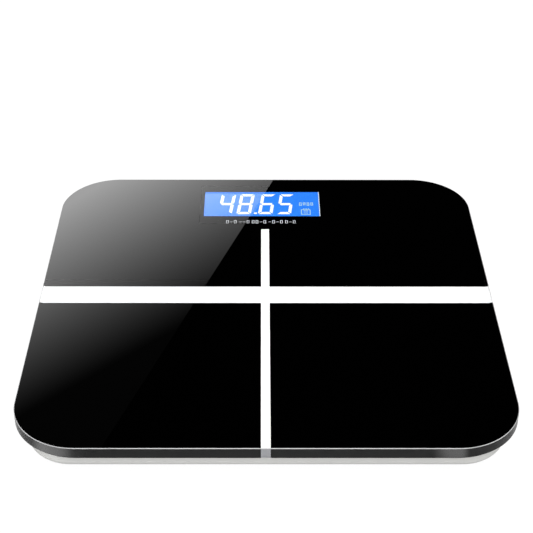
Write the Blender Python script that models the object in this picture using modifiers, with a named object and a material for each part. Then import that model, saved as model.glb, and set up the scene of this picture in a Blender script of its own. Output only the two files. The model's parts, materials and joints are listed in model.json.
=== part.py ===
"""Digital bathroom scale: a printed glass platform bonded to a shallow plastic tray.

Four load cells under the corners of the glass stand on four feet, which slide up and down a
little in the tray. A backlit display, its board, two AAA cells, a battery door and a unit button
complete it. Metres, +Z up, +Y towards the display, origin on the floor under the centre.
"""

import math

import bmesh
import bpy
from mathutils import Matrix, Vector

MM = 0.001

# Driving dimensions
PLATE_SIDE = 260 * MM
PLATE_CORNER = 35 * MM
PLATE_THICKNESS = 7 * MM
ARRIS = 0.7 * MM
HEIGHT = 23 * MM
TRAY_INSET = 6.5 * MM
TRAY_CORNER = 24.5 * MM
TRAY_EDGE_ROUND = 5 * MM
TRAY_WALL = 2.4 * MM
FLOOR_CLEARANCE = 3.5 * MM
FOOT_OFFSET = 88.5 * MM
FOOT_RADIUS = 20.4 * MM
FOOT_TRAVEL = 1.0 * MM
BUTTON_RADIUS = 4 * MM

# Gaps between neighbours, and how far a cutter or a joined shape runs past a face
FIT_GAP = 0.3 * MM
SNUG_GAP = 0.2 * MM
SKIN_GAP = 0.08 * MM
PAST = 1.0 * MM
LAP = 0.5 * MM

# Levels that follow from the driving dimensions
PLATE_BOTTOM = HEIGHT - PLATE_THICKNESS
BOND = 0.8 * MM
TRAY_TOP = PLATE_BOTTOM - BOND
TRAY_FLOOR = FLOOR_CLEARANCE + TRAY_WALL
TRAY_HALF = PLATE_SIDE / 2 - TRAY_INSET
ROOTED = FLOOR_CLEARANCE + PAST
TAPE_BOTTOM = TRAY_TOP + SKIN_GAP

# Printed pattern under the glass: a cross and a clear window for the display
INK = 0.14 * MM
INK_TOP = PLATE_BOTTOM - SKIN_GAP
INK_BOTTOM = INK_TOP - INK
INK_HALF = PLATE_SIDE / 2 - ARRIS - 0.1 * MM
TAPE_TOP = INK_BOTTOM - SKIN_GAP
BAR_FRONT = -4.2 * MM
BAR_REAR = 12.4 * MM
STEM_HALF = 2.6 * MM
STEM_REAR = 74 * MM
WINDOW = (-39.5 * MM, 34.8 * MM, 89.3 * MM, 119.2 * MM)
TAPE_INSET = 0.4 * MM
TAPE_WIDTH = 3.4 * MM

# Ribs across the tray's floor
RIB = 1.6 * MM
RIB_TOP = 13 * MM
RIB_STEP = 0.2 * MM
RIB_REACH = TRAY_HALF - TRAY_WALL + 0.2 * MM
LONG_RIB_X = 50 * MM
LONG_RIB_REAR = 70 * MM
CROSS_RIBS = (-80 * MM, -40 * MM, 0.0)
SIDE_RIBS = (-45 * MM, 0.0, 45 * MM)
SIDE_RIB_INNER = 62 * MM

# Load cell, its seat and the foot under them
SEAT_BOTTOM = 8.9 * MM
SEAT_HALF = 23 * MM
SEAT_CORNER = 6 * MM
EAR_X = 28.5 * MM
EAR_HALF_WIDTH = 4.5 * MM
EAR_HEIGHT = 4.2 * MM
CELL_BOTTOM = 9.7 * MM
CELL_TOP = 11.5 * MM
CELL_HALF = 17 * MM
CELL_LIP = 1.6 * MM
FLEX_ROOM = 12 * MM
FLEX_DEPTH = 2.4 * MM
SLOT_X = 9 * MM
SLOT_HALF = 0.8 * MM
SLOT_FRONT = -11.2 * MM
SLOT_REAR = 10 * MM
GAUGE = (-4 * MM, 4 * MM, 2 * MM, 9 * MM)
GAUGE_HEIGHT = 0.8 * MM
LEAD_EXIT_Y = 12 * MM
LEAD_NOTCH_HALF = 1.4 * MM
LEAD_NOTCH = (9.7 * MM, 11.7 * MM)
COLLAR_BORE = 23.2 * MM
COLLAR_RADIUS = 24.8 * MM
OPENING_RADIUS = FOOT_RADIUS + 0.6 * MM
FLANGE_RADIUS = 22.4 * MM
FLANGE_THICKNESS = 1.0 * MM
CUP_WALL = 1.6 * MM
CUP_FLOOR = 5.2 * MM
CUP_RIM = 2.4 * MM
CUP_BOSS = 4 * MM
PAD_SEAT = 3.4 * MM
PAD_RADIUS = FOOT_RADIUS - 2.2 * MM
PAD_CHAMFER = 0.8 * MM
PAD_GROOVE = (12.5 * MM, 10.5 * MM, 0.6 * MM)
PAD_TOP = PAD_SEAT - SNUG_GAP

# Screws that hold the tray up to the seats, and the bosses they pass through
BOSS_RADIUS = 3.9 * MM
BOSS_BORE = 1.5 * MM
SINK_RADIUS = 3.0 * MM
SINK_DEPTH = 1.6 * MM
PILOT_RADIUS = 1.35 * MM
PILOT_DEPTH = 3.9 * MM
SCREW_RADIUS = 1.1 * MM
SCREW_HEAD = 2.6 * MM
SCREW_HEAD_HEIGHT = 1.2 * MM
SCREW_REACH = 3.2 * MM
RECESS_LENGTH = 1.3 * MM
RECESS_HALF = 0.25 * MM
RECESS_DEPTH = 0.7 * MM

# Display stack, with outlines as (x0, x1, y0, y1)
LCD = (-42 * MM, 38 * MM, 85.6 * MM, 119.6 * MM)
LCD_TOP = PLATE_BOTTOM - 0.5 * MM
LCD_BOTTOM = LCD_TOP - 1.8 * MM
BACKLIGHT_TOP = LCD_BOTTOM - FIT_GAP
BACKLIGHT_BOTTOM = BACKLIGHT_TOP - 2.4 * MM
ZEBRA_INSET = 4 * MM
ZEBRA_Y = (0.3 * MM, 2.3 * MM)
BACKLIGHT_SETBACK = 2.8 * MM
HOLDER_WALL = 1.2 * MM
HOLDER_DROP = 0.4 * MM
BOARD = (-50 * MM, 46 * MM, 82 * MM, 120.8 * MM)
BOARD_TOP = 10.6 * MM
BOARD_BOTTOM = BOARD_TOP - 1.6 * MM
BOARD_SCREWS = ((-46 * MM, 86 * MM), (42 * MM, 117 * MM))
BOARD_POSTS = ((42 * MM, 86 * MM), (-46 * MM, 117 * MM))
POST_TOP = BOARD_BOTTOM - FIT_GAP
POST_RADIUS = 2.6 * MM
POST_BORE = 1.25 * MM
POST_BORE_FLOOR = 6.6 * MM
BOARD_HOLE = 1.4 * MM
BOARD_SCREW_RADIUS = 1.0 * MM
BOARD_SCREW_HEAD = 2.0 * MM
BOARD_SCREW_TIP = 7.2 * MM
BOARD_SCREW_HEAD_HEIGHT = 1.2 * MM
PART_TOP = BOARD_BOTTOM - SNUG_GAP
CHIP = (-26 * MM, -14 * MM, 94 * MM, 106 * MM)
CHIP_HEIGHT = 1.4 * MM

# Unit button and the switch above it
BUTTON_X = 30 * MM
BUTTON_Y = 92 * MM
BUTTON_DISH = 7.5 * MM
BUTTON_DISH_DEPTH = 0.6 * MM
BUTTON_PROUD = 0.1 * MM
BUTTON_FLANGE = 5.2 * MM
BUTTON_FLANGE_GAP = 0.1 * MM
BUTTON_FLANGE_THICKNESS = 0.5 * MM
BUTTON_NUB = 1.4 * MM
BUTTON_NUB_HEIGHT = 0.1 * MM
BUTTON_CHAMFER = 0.4 * MM
SWITCH_HALF = 3 * MM
SWITCH_HEIGHT = 1.3 * MM
PLUNGER_RADIUS = 1.6 * MM
PLUNGER_REACH = 1.6 * MM

# Battery bay: a pod below the floor, a roofed box above it
BAY_Y = 40 * MM
BAY_HALF_X = 25.5 * MM
BAY_HALF_Y = 11.4 * MM
BAY_WALL = 1.5 * MM
BAY_CEILING = 14.5 * MM
BAY_ROOF = 0.5 * MM
POD_BOTTOM = 1.9 * MM
POD_HALF_X = 33 * MM
POD_FRONT = BAY_Y - 18 * MM
POD_REAR = BAY_Y + 20 * MM
POD_CORNER = 4 * MM
SCOOP_Y = 59.2 * MM
SCOOP_RADIUS = 7.5 * MM
SCOOP_DEPTH = 1.0 * MM

# Battery door, hooked at its front edge and latched at its rear edge
DOOR_HALF_X = 28.7 * MM
DOOR_HALF_Y = 14.2 * MM
DOOR_CORNER = 2 * MM
DOOR_BOTTOM = POD_BOTTOM + 0.05 * MM
DOOR_TOP = DOOR_BOTTOM + 1.5 * MM
DOOR_RECESS_TOP = POD_BOTTOM + 1.6 * MM
DOOR_FRONT = BAY_Y - DOOR_HALF_Y
DOOR_REAR = BAY_Y + DOOR_HALF_Y
HOOK_X = 18 * MM
HOOK_HALF = 3 * MM
HOOK_RISER = (0.1 * MM, 1.4 * MM)
HOOK_LIP = (-1.5 * MM, 0.7 * MM)
HOOK_LEVELS = (3.8 * MM, 4.5 * MM, 4.6 * MM)
HOOK_SLOT = (-1.9 * MM, 3.4 * MM)
HOOK_SLOT_LEVELS = (3.4 * MM, 5.2 * MM)
LATCH_HALF = 5.5 * MM
LATCH_TONGUE = (-1.0 * MM, -0.1 * MM)
LATCH_HOOK = (-0.6 * MM, 1.0 * MM)
LATCH_LEVELS = (6.0 * MM, 6.8 * MM, 7.0 * MM)
LATCH_POCKET = (-1.25 * MM, 2.6 * MM)
LATCH_POCKET_HALF = 8 * MM
LATCH_POCKET_LEVELS = (3.3 * MM, 7.5 * MM)
GRIP_COUNT = 5
GRIP_START = 5.5 * MM
GRIP_PITCH = 1.6 * MM
GRIP_WIDTH = 0.7 * MM
GRIP_DEPTH = 0.4 * MM
GRIP_HALF = 7 * MM

# Cells and contacts
AAA_RADIUS = 5.25 * MM
AAA_LENGTH = 44.5 * MM
AAA_PITCH = 11.2 * MM
AAA_HEIGHT = 9.05 * MM
AAA_SHIFT = 2.35 * MM
NUB_RADIUS = 1.9 * MM
NUB_HEIGHT = 0.9 * MM
SHOULDER_RADIUS = 4.6 * MM
SHOULDER_DROP = 0.5 * MM
BASE_CHAMFER = 0.4 * MM
CELL_NEAR = BAY_Y - AAA_PITCH / 2
CELL_FAR = BAY_Y + AAA_PITCH / 2
CONTACT_INNER = 24.8 * MM
CONTACT_OUTER = 25.2 * MM
CONTACT_HALF = 4.4 * MM
TAIL_END = 28.6 * MM
TAIL_HALF = 0.6 * MM
TAIL_LEVELS = (11.6 * MM, 12.0 * MM)
TAIL_SLOT_HALF = 1.0 * MM
TAIL_SLOT_LEVELS = (11.2 * MM, 12.4 * MM)
SPRING_WIRE = 0.3 * MM
SPRING_TURNS = 3.5
SPRING_POINTS_PER_TURN = 12
SPRING_ENDS = (24.35 * MM, 20.5 * MM)
SPRING_RADII = (3.9 * MM, 2.4 * MM)

# Leads, as routes chosen by hand in millimetres
SENSOR_LEAD_RADIUS = 0.7 * MM
SENSOR_LEAD_START = ((70.9, 76.5, 10.7), (64.5, 76.5, 10.6))
FRONT_LEAD_RUN = ((60, -76, 7.6), (56, -68, 6.7), (56, -30, 6.7), (56, 10, 6.7), (56, 50, 6.7),
                  (55, 66, 6.9), (49, 76, 9.2))
FRONT_LEAD_LANDINGS = {-1: (-38, 83.4, 11.7), 1: (34, 83.4, 11.7)}
REAR_LEAD_LANDINGS = {-1: (-48, 96, 11.7), 1: (44, 96, 11.7)}
REAR_LEAD_RUN = ((11, 80, 8.0), (7, 86, 8.4), (4, 92, 11.0))
BATTERY_LEAD_RADIUS = 0.6 * MM
BATTERY_LEAD_RUNS = {
    "red": ((-29.2, 34.4, 11.8), (-31.5, 37, 11), (-33, 46, 7.6), (-33, 60, 6.8), (-32, 72, 7.6),
            (-30, 79.2, 11.2), (-28, 83.4, 11.6)),
    "black": ((-29.2, 45.6, 11.8), (-30.5, 50, 10), (-30, 60, 7), (-27, 71, 7.4),
              (-24, 79.2, 11.2), (-22, 83.4, 11.6)),
}

CORNERS = {
    "front_left": (-1, -1),
    "front_right": (1, -1),
    "rear_left": (-1, 1),
    "rear_right": (1, 1),
}

# Base colour, roughness and metallic value of each material
COLOURS = {
    "clear_glass": ((0.75, 0.85, 0.82), 0.03, 0.0),
    "black_ink": ((0.004, 0.004, 0.005), 0.35, 0.0),
    "white_ink": ((0.93, 0.93, 0.93), 0.45, 0.0),
    "tray_plastic": ((0.62, 0.62, 0.60), 0.5, 0.0),
    "foam_tape": ((0.03, 0.03, 0.03), 0.9, 0.0),
    "black_plastic": ((0.03, 0.03, 0.032), 0.5, 0.0),
    "grey_rubber": ((0.10, 0.10, 0.10), 0.85, 0.0),
    "spring_steel": ((0.62, 0.62, 0.64), 0.3, 1.0),
    "screw_steel": ((0.45, 0.45, 0.47), 0.35, 1.0),
    "lcd_blue": ((0.03, 0.24, 0.95), 0.1, 0.0),
    "white_acrylic": ((0.9, 0.92, 0.95), 0.3, 0.0),
    "board_green": ((0.02, 0.16, 0.05), 0.4, 0.0),
    "chip_black": ((0.02, 0.02, 0.02), 0.4, 0.0),
    "zebra_rubber": ((0.75, 0.55, 0.58), 0.7, 0.0),
    "cell_sleeve": ((0.10, 0.12, 0.16), 0.3, 0.4),
    "lead_grey": ((0.25, 0.25, 0.26), 0.5, 0.0),
    "lead_red": ((0.6, 0.02, 0.02), 0.5, 0.0),
    "lead_black": ((0.02, 0.02, 0.02), 0.5, 0.0),
}


# ---------------------------------------------------------------- scene and objects
def clear_scene():
    for obj in list(bpy.data.objects):
        bpy.data.objects.remove(obj, do_unlink=True)


def new_collection(name, parent=None):
    made = bpy.data.collections.new(name)
    (parent or bpy.context.scene.collection).children.link(made)
    return made


def make_materials():
    made = {}
    for name, (colour, roughness, metallic) in COLOURS.items():
        mat = bpy.data.materials.new(name)
        mat.use_nodes = True
        shader = mat.node_tree.nodes["Principled BSDF"]
        shader.inputs["Base Color"].default_value = (*colour, 1)
        shader.inputs["Roughness"].default_value = roughness
        shader.inputs["Metallic"].default_value = metallic
        made[name] = mat
    return made


def finish(name, data, material, collection=None, smooth=True):
    """Links a new object for mesh or curve data and gives it its material."""
    obj = bpy.data.objects.new(name, data)
    (collection or SCALE).objects.link(obj)
    if material:
        data.materials.append(MATERIALS[material])
    if smooth and isinstance(data, bpy.types.Mesh):
        data.shade_smooth()
        data.set_sharp_from_angle(angle=math.radians(35))
    return obj


def from_bmesh(name, bm, material, collection=None):
    mesh = bpy.data.meshes.new(name)
    bm.normal_update()
    bm.to_mesh(mesh)
    bm.free()
    return finish(name, mesh, material, collection)


def empty(name, location):
    made = bpy.data.objects.new(name, None)
    made.empty_display_size = 10 * MM
    made.location = location
    SCALE.objects.link(made)
    return made


def parent_in_place(child, parent):
    child.parent = parent
    child.matrix_parent_inverse = Matrix.Translation(-Vector(parent.location))


# ---------------------------------------------------------------- shapes
def box_bmesh(x0, x1, y0, y1, z0, z1, corner=0.0, segments=4):
    """A box with its four upright edges rounded to the radius corner."""
    bm = bmesh.new()
    bmesh.ops.create_cube(bm, size=1.0)
    size = Vector((x1 - x0, y1 - y0, z1 - z0))
    centre = Vector((x0 + x1, y0 + y1, z0 + z1)) / 2
    bmesh.ops.transform(bm, matrix=Matrix.LocRotScale(centre, None, size), verts=bm.verts)
    if corner > 0:
        upright = [e for e in bm.edges if abs(e.verts[0].co.z - e.verts[1].co.z) > size.z / 2]
        bmesh.ops.bevel(bm, geom=upright, offset=corner, segments=segments, profile=0.5,
                        affect="EDGES", clamp_overlap=False)
    return bm


def round_rim(bm, level, width, segments):
    """Bevels the outline of the flat face at this height."""
    bm.normal_update()
    rim = [
        e for e in bm.edges
        if all(abs(v.co.z - level) < 0.001 * MM for v in e.verts)
        and any(abs(f.normal.z) < 0.5 for f in e.link_faces)
    ]
    bmesh.ops.bevel(bm, geom=rim, offset=width, segments=segments, profile=0.5, affect="EDGES",
                    clamp_overlap=False)


def box(name, material, x0, x1, y0, y1, z0, z1, corner=0.0, segments=4, collection=None):
    bm = box_bmesh(x0, x1, y0, y1, z0, z1, corner, segments)
    return from_bmesh(name, bm, material, collection)


def square(name, material, x, y, half, z0, z1, corner=0.0, segments=4, collection=None):
    """A box that is square in plan and centred on x, y."""
    return box(name, material, x - half, x + half, y - half, y + half, z0, z1, corner, segments,
               collection)


def cylinder(name, material, x, y, z0, z1, radius, sides=24, collection=None):
    bm = bmesh.new()
    bmesh.ops.create_cone(bm, cap_ends=True, segments=sides, radius1=radius, radius2=radius,
                          depth=z1 - z0, matrix=Matrix.Translation((x, y, (z0 + z1) / 2)))
    return from_bmesh(name, bm, material, collection)


def turned(name, material, profile, location, sides=24):
    """A solid turned about Z from (radius, height) points that run down its outer side."""
    mesh = bpy.data.meshes.new(name)
    points = [(radius, 0, height) for radius, height in profile]
    mesh.from_pydata(points, [(i, i + 1) for i in range(len(points) - 1)], [])
    obj = finish(name, mesh, material, smooth=False)
    screw = obj.modifiers.new("turn", "SCREW")
    screw.steps = screw.render_steps = sides
    screw.use_merge_vertices = True
    screw.merge_threshold = 0.001 * MM
    obj.location = location
    return obj


def tube(name, material, points, radius):
    """A round wire along a list of points, with closed ends."""
    curve = bpy.data.curves.new(name, "CURVE")
    curve.dimensions = "3D"
    curve.bevel_depth = radius
    curve.bevel_resolution = 2
    curve.use_fill_caps = True
    spline = curve.splines.new("POLY")
    spline.points.add(len(points) - 1)
    for target, point in zip(spline.points, points):
        target.co = (*point, 1)
    return finish(name, curve, material)


def smooth_route(route, spacing):
    """Points about this far apart on a Catmull-Rom curve through a route in millimetres."""
    route = [Vector(point) * MM for point in route]
    padded = [2 * route[0] - route[1], *route, 2 * route[-1] - route[-2]]
    made = []
    for a, b, c, d in zip(padded, padded[1:], padded[2:], padded[3:]):
        steps = max(1, round((c - b).length / spacing))
        for k in range(steps):
            t = k / steps
            made.append(0.5 * (2 * b + (c - a) * t + (2 * a - 5 * b + 4 * c - d) * t ** 2
                               + (3 * b - a - 3 * c + d) * t ** 3))
    return [*made, route[-1]]


# ---------------------------------------------------------------- joining and cutting
def helpers(name):
    """A collection for cutters or for shapes that are joined into another part."""
    return new_collection(name, CUTTERS)


def boolean(target, group, operation):
    """Joins or cuts a part with everything in a helper collection."""
    made = target.modifiers.new(operation.lower(), "BOOLEAN")
    made.operation = operation
    made.solver = "EXACT"
    made.operand_type = "COLLECTION"
    made.collection = group


def hide_helpers():
    for obj in CUTTERS.all_objects:
        obj.hide_render = True
        obj.display_type = "WIRE"


# ---------------------------------------------------------------- platform
def glass_platform():
    bm = box_bmesh(-PLATE_SIDE / 2, PLATE_SIDE / 2, -PLATE_SIDE / 2, PLATE_SIDE / 2, PLATE_BOTTOM,
                   HEIGHT, PLATE_CORNER, 10)
    round_rim(bm, HEIGHT, ARRIS, 1)
    round_rim(bm, PLATE_BOTTOM, ARRIS, 1)
    return from_bmesh("glass_platform", bm, "clear_glass")


def ink_sheet(name, material):
    return square(name, material, 0, 0, INK_HALF, INK_BOTTOM, INK_TOP, PLATE_CORNER - ARRIS, 10)


def ink_cut(name, group, x0, x1, y0, y1):
    x0, x1 = sorted((x0, x1))
    box(name, None, x0, x1, y0, y1, INK_BOTTOM - PAST, INK_TOP + PAST, collection=group)


def printed_ink():
    """The two inks on the glass: black fields with a window, and a white cross between them."""
    seam = SKIN_GAP / 2
    reach = INK_HALF + PAST

    cuts = helpers("rear_ink_cuts")
    ink_cut("rear_cut_front", cuts, -reach, reach, -reach, BAR_REAR + seam)
    ink_cut("rear_cut_stem", cuts, -STEM_HALF - seam, STEM_HALF + seam, BAR_REAR - PAST,
            STEM_REAR + seam)
    ink_cut("rear_cut_window", cuts, *WINDOW)
    boolean(ink_sheet("print_black_rear", "black_ink"), cuts, "DIFFERENCE")

    for side, name in ((-1, "left"), (1, "right")):
        cuts = helpers(f"{name}_ink_cuts")
        ink_cut(f"{name}_cut_rear", cuts, -reach, reach, BAR_FRONT - seam, reach)
        ink_cut(f"{name}_cut_side", cuts, side * (STEM_HALF + seam), -side * reach, -reach,
                BAR_FRONT)
        boolean(ink_sheet(f"print_black_front_{name}", "black_ink"), cuts, "DIFFERENCE")

    cuts = helpers("cross_ink_cuts")
    for side, name in ((-1, "left"), (1, "right")):
        ink_cut(f"cross_cut_front_{name}", cuts, side * STEM_HALF, side * reach, -reach, BAR_FRONT)
        ink_cut(f"cross_cut_rear_{name}", cuts, side * STEM_HALF, side * reach, BAR_REAR, reach)
    ink_cut("cross_cut_behind", cuts, -STEM_HALF - PAST, STEM_HALF + PAST, STEM_REAR, reach)
    boolean(ink_sheet("print_white_cross", "white_ink"), cuts, "DIFFERENCE")


def bonding_tape():
    """The foam tape that bonds the glass to the tray's rim and to each load cell's seat."""
    ring = square("bonding_tape_ring", "foam_tape", 0, 0, TRAY_HALF - TAPE_INSET, TAPE_BOTTOM,
                  TAPE_TOP, TRAY_CORNER - TAPE_INSET, 8)
    cuts = helpers("tape_cuts")
    inset = TAPE_INSET + TAPE_WIDTH
    square("tape_cut", None, 0, 0, TRAY_HALF - inset, TAPE_BOTTOM - PAST, TAPE_TOP + PAST,
           TRAY_CORNER - inset, 8, cuts)
    boolean(ring, cuts, "DIFFERENCE")
    for name, (sx, sy) in CORNERS.items():
        square(f"seat_tape_{name}", "foam_tape", sx * FOOT_OFFSET, sy * FOOT_OFFSET,
               SEAT_HALF - 3 * MM, TAPE_BOTTOM, TAPE_TOP, SEAT_CORNER - 2 * MM, 2)


# ---------------------------------------------------------------- tray
def tray_shell():
    """The open tray: an outer skin with a rounded lower edge, thickened inwards."""
    bm = box_bmesh(-TRAY_HALF, TRAY_HALF, -TRAY_HALF, TRAY_HALF, FLOOR_CLEARANCE, TRAY_TOP,
                   TRAY_CORNER, 8)
    round_rim(bm, FLOOR_CLEARANCE, TRAY_EDGE_ROUND, 4)
    bm.normal_update()
    lid = [f for f in bm.faces if f.normal.z > 0.99]
    bmesh.ops.delete(bm, geom=lid, context="FACES_ONLY")
    tray = from_bmesh("base_tray", bm, "tray_plastic")
    thicken = tray.modifiers.new("wall", "SOLIDIFY")
    thicken.thickness = TRAY_WALL
    thicken.offset = -1
    thicken.use_even_offset = True
    return tray


def tray_ribs(added):
    """Two ribs front to back, and lower ribs across between them and out to each side."""
    for side, name in ((-1, "left"), (1, "right")):
        x = side * LONG_RIB_X
        box(f"rib_long_{name}", None, x - RIB / 2, x + RIB / 2, -RIB_REACH, LONG_RIB_REAR, ROOTED,
            RIB_TOP, collection=added)
        x0, x1 = sorted((side * SIDE_RIB_INNER, side * RIB_REACH))
        for i, y in enumerate(SIDE_RIBS):
            box(f"rib_{name}_{i}", None, x0, x1, y - RIB / 2, y + RIB / 2, ROOTED,
                RIB_TOP - 2 * RIB_STEP, collection=added)
    for i, y in enumerate(CROSS_RIBS):
        box(f"rib_cross_{i}", None, -LONG_RIB_X, LONG_RIB_X, y - RIB / 2, y + RIB / 2, ROOTED,
            RIB_TOP - RIB_STEP, collection=added)


def tray_corners(added, cut):
    """Around each foot: a guiding collar, the opening, and two bosses for the seat's screws."""
    below = FLOOR_CLEARANCE - PAST
    for name, (sx, sy) in CORNERS.items():
        x, y = sx * FOOT_OFFSET, sy * FOOT_OFFSET
        cylinder(f"collar_{name}", None, x, y, ROOTED, SEAT_BOTTOM - FIT_GAP, COLLAR_RADIUS, 32,
                 added)
        cylinder(f"collar_bore_{name}", None, x, y, TRAY_FLOOR, SEAT_BOTTOM + PAST, COLLAR_BORE,
                 32, cut)
        cylinder(f"opening_{name}", None, x, y, below, TRAY_FLOOR + PAST, OPENING_RADIUS, 32, cut)
        for side, label in ((-1, "a"), (1, "b")):
            bx = x + side * EAR_X
            boss_top = SEAT_BOTTOM - FIT_GAP - 0.1 * MM
            cylinder(f"boss_{name}_{label}", None, bx, y, ROOTED, boss_top, BOSS_RADIUS, 12, added)
            cylinder(f"boss_bore_{name}_{label}", None, bx, y, below, SEAT_BOTTOM + PAST,
                     BOSS_BORE, 12, cut)
            cylinder(f"boss_sink_{name}_{label}", None, bx, y, below,
                     FLOOR_CLEARANCE + SINK_DEPTH, SINK_RADIUS, 16, cut)


def tray_battery_bay(added, cut):
    """The pod under the floor, the bay above it, and the recesses for the door and its hooks."""
    below = POD_BOTTOM - PAST
    wall_x, wall_y = BAY_HALF_X + BAY_WALL, BAY_HALF_Y + BAY_WALL
    box("pod", None, -POD_HALF_X, POD_HALF_X, POD_FRONT, POD_REAR, POD_BOTTOM, ROOTED, POD_CORNER,
        4, added)
    box("bay_block", None, -wall_x, wall_x, BAY_Y - wall_y, BAY_Y + wall_y,
        FLOOR_CLEARANCE + LAP, BAY_CEILING + BAY_ROOF, collection=added)
    box("bay_hollow", None, -BAY_HALF_X, BAY_HALF_X, BAY_Y - BAY_HALF_Y, BAY_Y + BAY_HALF_Y,
        below, BAY_CEILING, collection=cut)
    box("door_recess", None, -DOOR_HALF_X - FIT_GAP, DOOR_HALF_X + FIT_GAP, DOOR_FRONT - FIT_GAP,
        DOOR_REAR + FIT_GAP, below, DOOR_RECESS_TOP, DOOR_CORNER + SNUG_GAP, 3, cut)
    for side, name in ((-1, "left"), (1, "right")):
        x = side * HOOK_X
        box(f"hook_slot_{name}", None, x - HOOK_HALF - PAST, x + HOOK_HALF + PAST,
            DOOR_FRONT + HOOK_SLOT[0], DOOR_FRONT + HOOK_SLOT[1], *HOOK_SLOT_LEVELS,
            collection=cut)
    box("latch_pocket", None, -LATCH_POCKET_HALF, LATCH_POCKET_HALF, DOOR_REAR + LATCH_POCKET[0],
        DOOR_REAR + LATCH_POCKET[1], *LATCH_POCKET_LEVELS, collection=cut)
    cylinder("thumb_scoop", None, 0, SCOOP_Y, below, POD_BOTTOM + SCOOP_DEPTH, SCOOP_RADIUS, 24,
             cut)
    for name, y in (("positive", CELL_NEAR), ("negative", CELL_FAR)):
        box(f"tail_slot_{name}", None, -wall_x - PAST, -BAY_HALF_X + PAST, y - TAIL_SLOT_HALF,
            y + TAIL_SLOT_HALF, *TAIL_SLOT_LEVELS, collection=cut)


def tray_board_posts(added, cut):
    for i, (x, y) in enumerate(BOARD_SCREWS + BOARD_POSTS):
        cylinder(f"post_{i}", None, x, y, ROOTED, POST_TOP, POST_RADIUS, 12, added)
    for i, (x, y) in enumerate(BOARD_SCREWS):
        cylinder(f"post_bore_{i}", None, x, y, POST_BORE_FLOOR, POST_TOP + PAST, POST_BORE, 12,
                 cut)


def tray_button_hole(cut):
    below = FLOOR_CLEARANCE - PAST
    cylinder("button_hole", None, BUTTON_X, BUTTON_Y, below, TRAY_FLOOR + PAST,
             BUTTON_RADIUS + FIT_GAP, 24, cut)
    cylinder("button_dish", None, BUTTON_X, BUTTON_Y, below, FLOOR_CLEARANCE + BUTTON_DISH_DEPTH,
             BUTTON_DISH, 24, cut)


def base_tray():
    tray = tray_shell()
    added, cut = helpers("tray_additions"), helpers("tray_cuts")
    tray_ribs(added)
    tray_corners(added, cut)
    tray_battery_bay(added, cut)
    tray_board_posts(added, cut)
    tray_button_hole(cut)
    boolean(tray, added, "UNION")
    boolean(tray, cut, "DIFFERENCE")


# ---------------------------------------------------------------- corners
def sensor_seat(name, x, y, sx, sy):
    """The plastic block bonded under the glass that holds one load cell by its outer frame."""
    seat = square(f"sensor_seat_{name}", "black_plastic", x, y, SEAT_HALF, SEAT_BOTTOM, TRAY_TOP,
                  SEAT_CORNER, 4)
    added, cut = helpers(f"seat_ears_{name}"), helpers(f"seat_cuts_{name}")
    ear_end = EAR_X + 3 * MM
    box(f"ears_{name}", None, x - ear_end, x + ear_end, y - EAR_HALF_WIDTH, y + EAR_HALF_WIDTH,
        SEAT_BOTTOM, SEAT_BOTTOM + EAR_HEIGHT, 3 * MM, 3, added)
    pocket = CELL_HALF + 0.4 * MM
    pocket_floor = CELL_BOTTOM - FIT_GAP
    square(f"cell_pocket_{name}", None, x, y, pocket, pocket_floor, CELL_TOP + SNUG_GAP,
           collection=cut)
    box(f"cell_entry_{name}", None, x - pocket, x + pocket, y - pocket + CELL_LIP,
        y + pocket - CELL_LIP, SEAT_BOTTOM - PAST, pocket_floor + 0.1 * MM, collection=cut)
    square(f"flex_room_{name}", None, x, y, FLEX_ROOM, CELL_TOP, CELL_TOP + FLEX_DEPTH,
           collection=cut)
    x0, x1 = sorted((x - sx * (SEAT_HALF + PAST), x - sx * (pocket - PAST)))
    exit_y = y - sy * LEAD_EXIT_Y
    box(f"lead_notch_{name}", None, x0, x1, exit_y - LEAD_NOTCH_HALF, exit_y + LEAD_NOTCH_HALF,
        *LEAD_NOTCH, collection=cut)
    for side, label in ((-1, "a"), (1, "b")):
        cylinder(f"pilot_{name}_{label}", None, x + side * EAR_X, y, SEAT_BOTTOM - PAST,
                 SEAT_BOTTOM + PILOT_DEPTH, PILOT_RADIUS, 12, cut)
    boolean(seat, added, "UNION")
    boolean(seat, cut, "DIFFERENCE")


def load_cell(name, x, y):
    """A steel plate with a tongue freed by a slot on three sides, and the sealed gauge on it."""
    cell = square(f"load_cell_{name}", "spring_steel", x, y, CELL_HALF, CELL_BOTTOM, CELL_TOP,
                  2 * MM, 2)
    added, cut = helpers(f"cell_gauge_{name}"), helpers(f"cell_slots_{name}")
    x0, x1, y0, y1 = GAUGE
    box(f"gauge_{name}", None, x + x0, x + x1, y + y0, y + y1, CELL_TOP - LAP,
        CELL_TOP + GAUGE_HEIGHT, 1.2 * MM, 2, added)
    low, high = CELL_BOTTOM - PAST, CELL_TOP + PAST
    for side, label in ((-1, "left"), (1, "right")):
        middle = x + side * SLOT_X
        box(f"slot_{name}_{label}", None, middle - SLOT_HALF, middle + SLOT_HALF,
            y + SLOT_FRONT + SNUG_GAP, y + SLOT_REAR, low, high, collection=cut)
    box(f"slot_{name}_front", None, x - SLOT_X - LAP, x + SLOT_X + LAP, y + SLOT_FRONT,
        y + SLOT_FRONT + 2 * SLOT_HALF, low, high, collection=cut)
    boolean(cell, added, "UNION")
    boolean(cell, cut, "DIFFERENCE")


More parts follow.
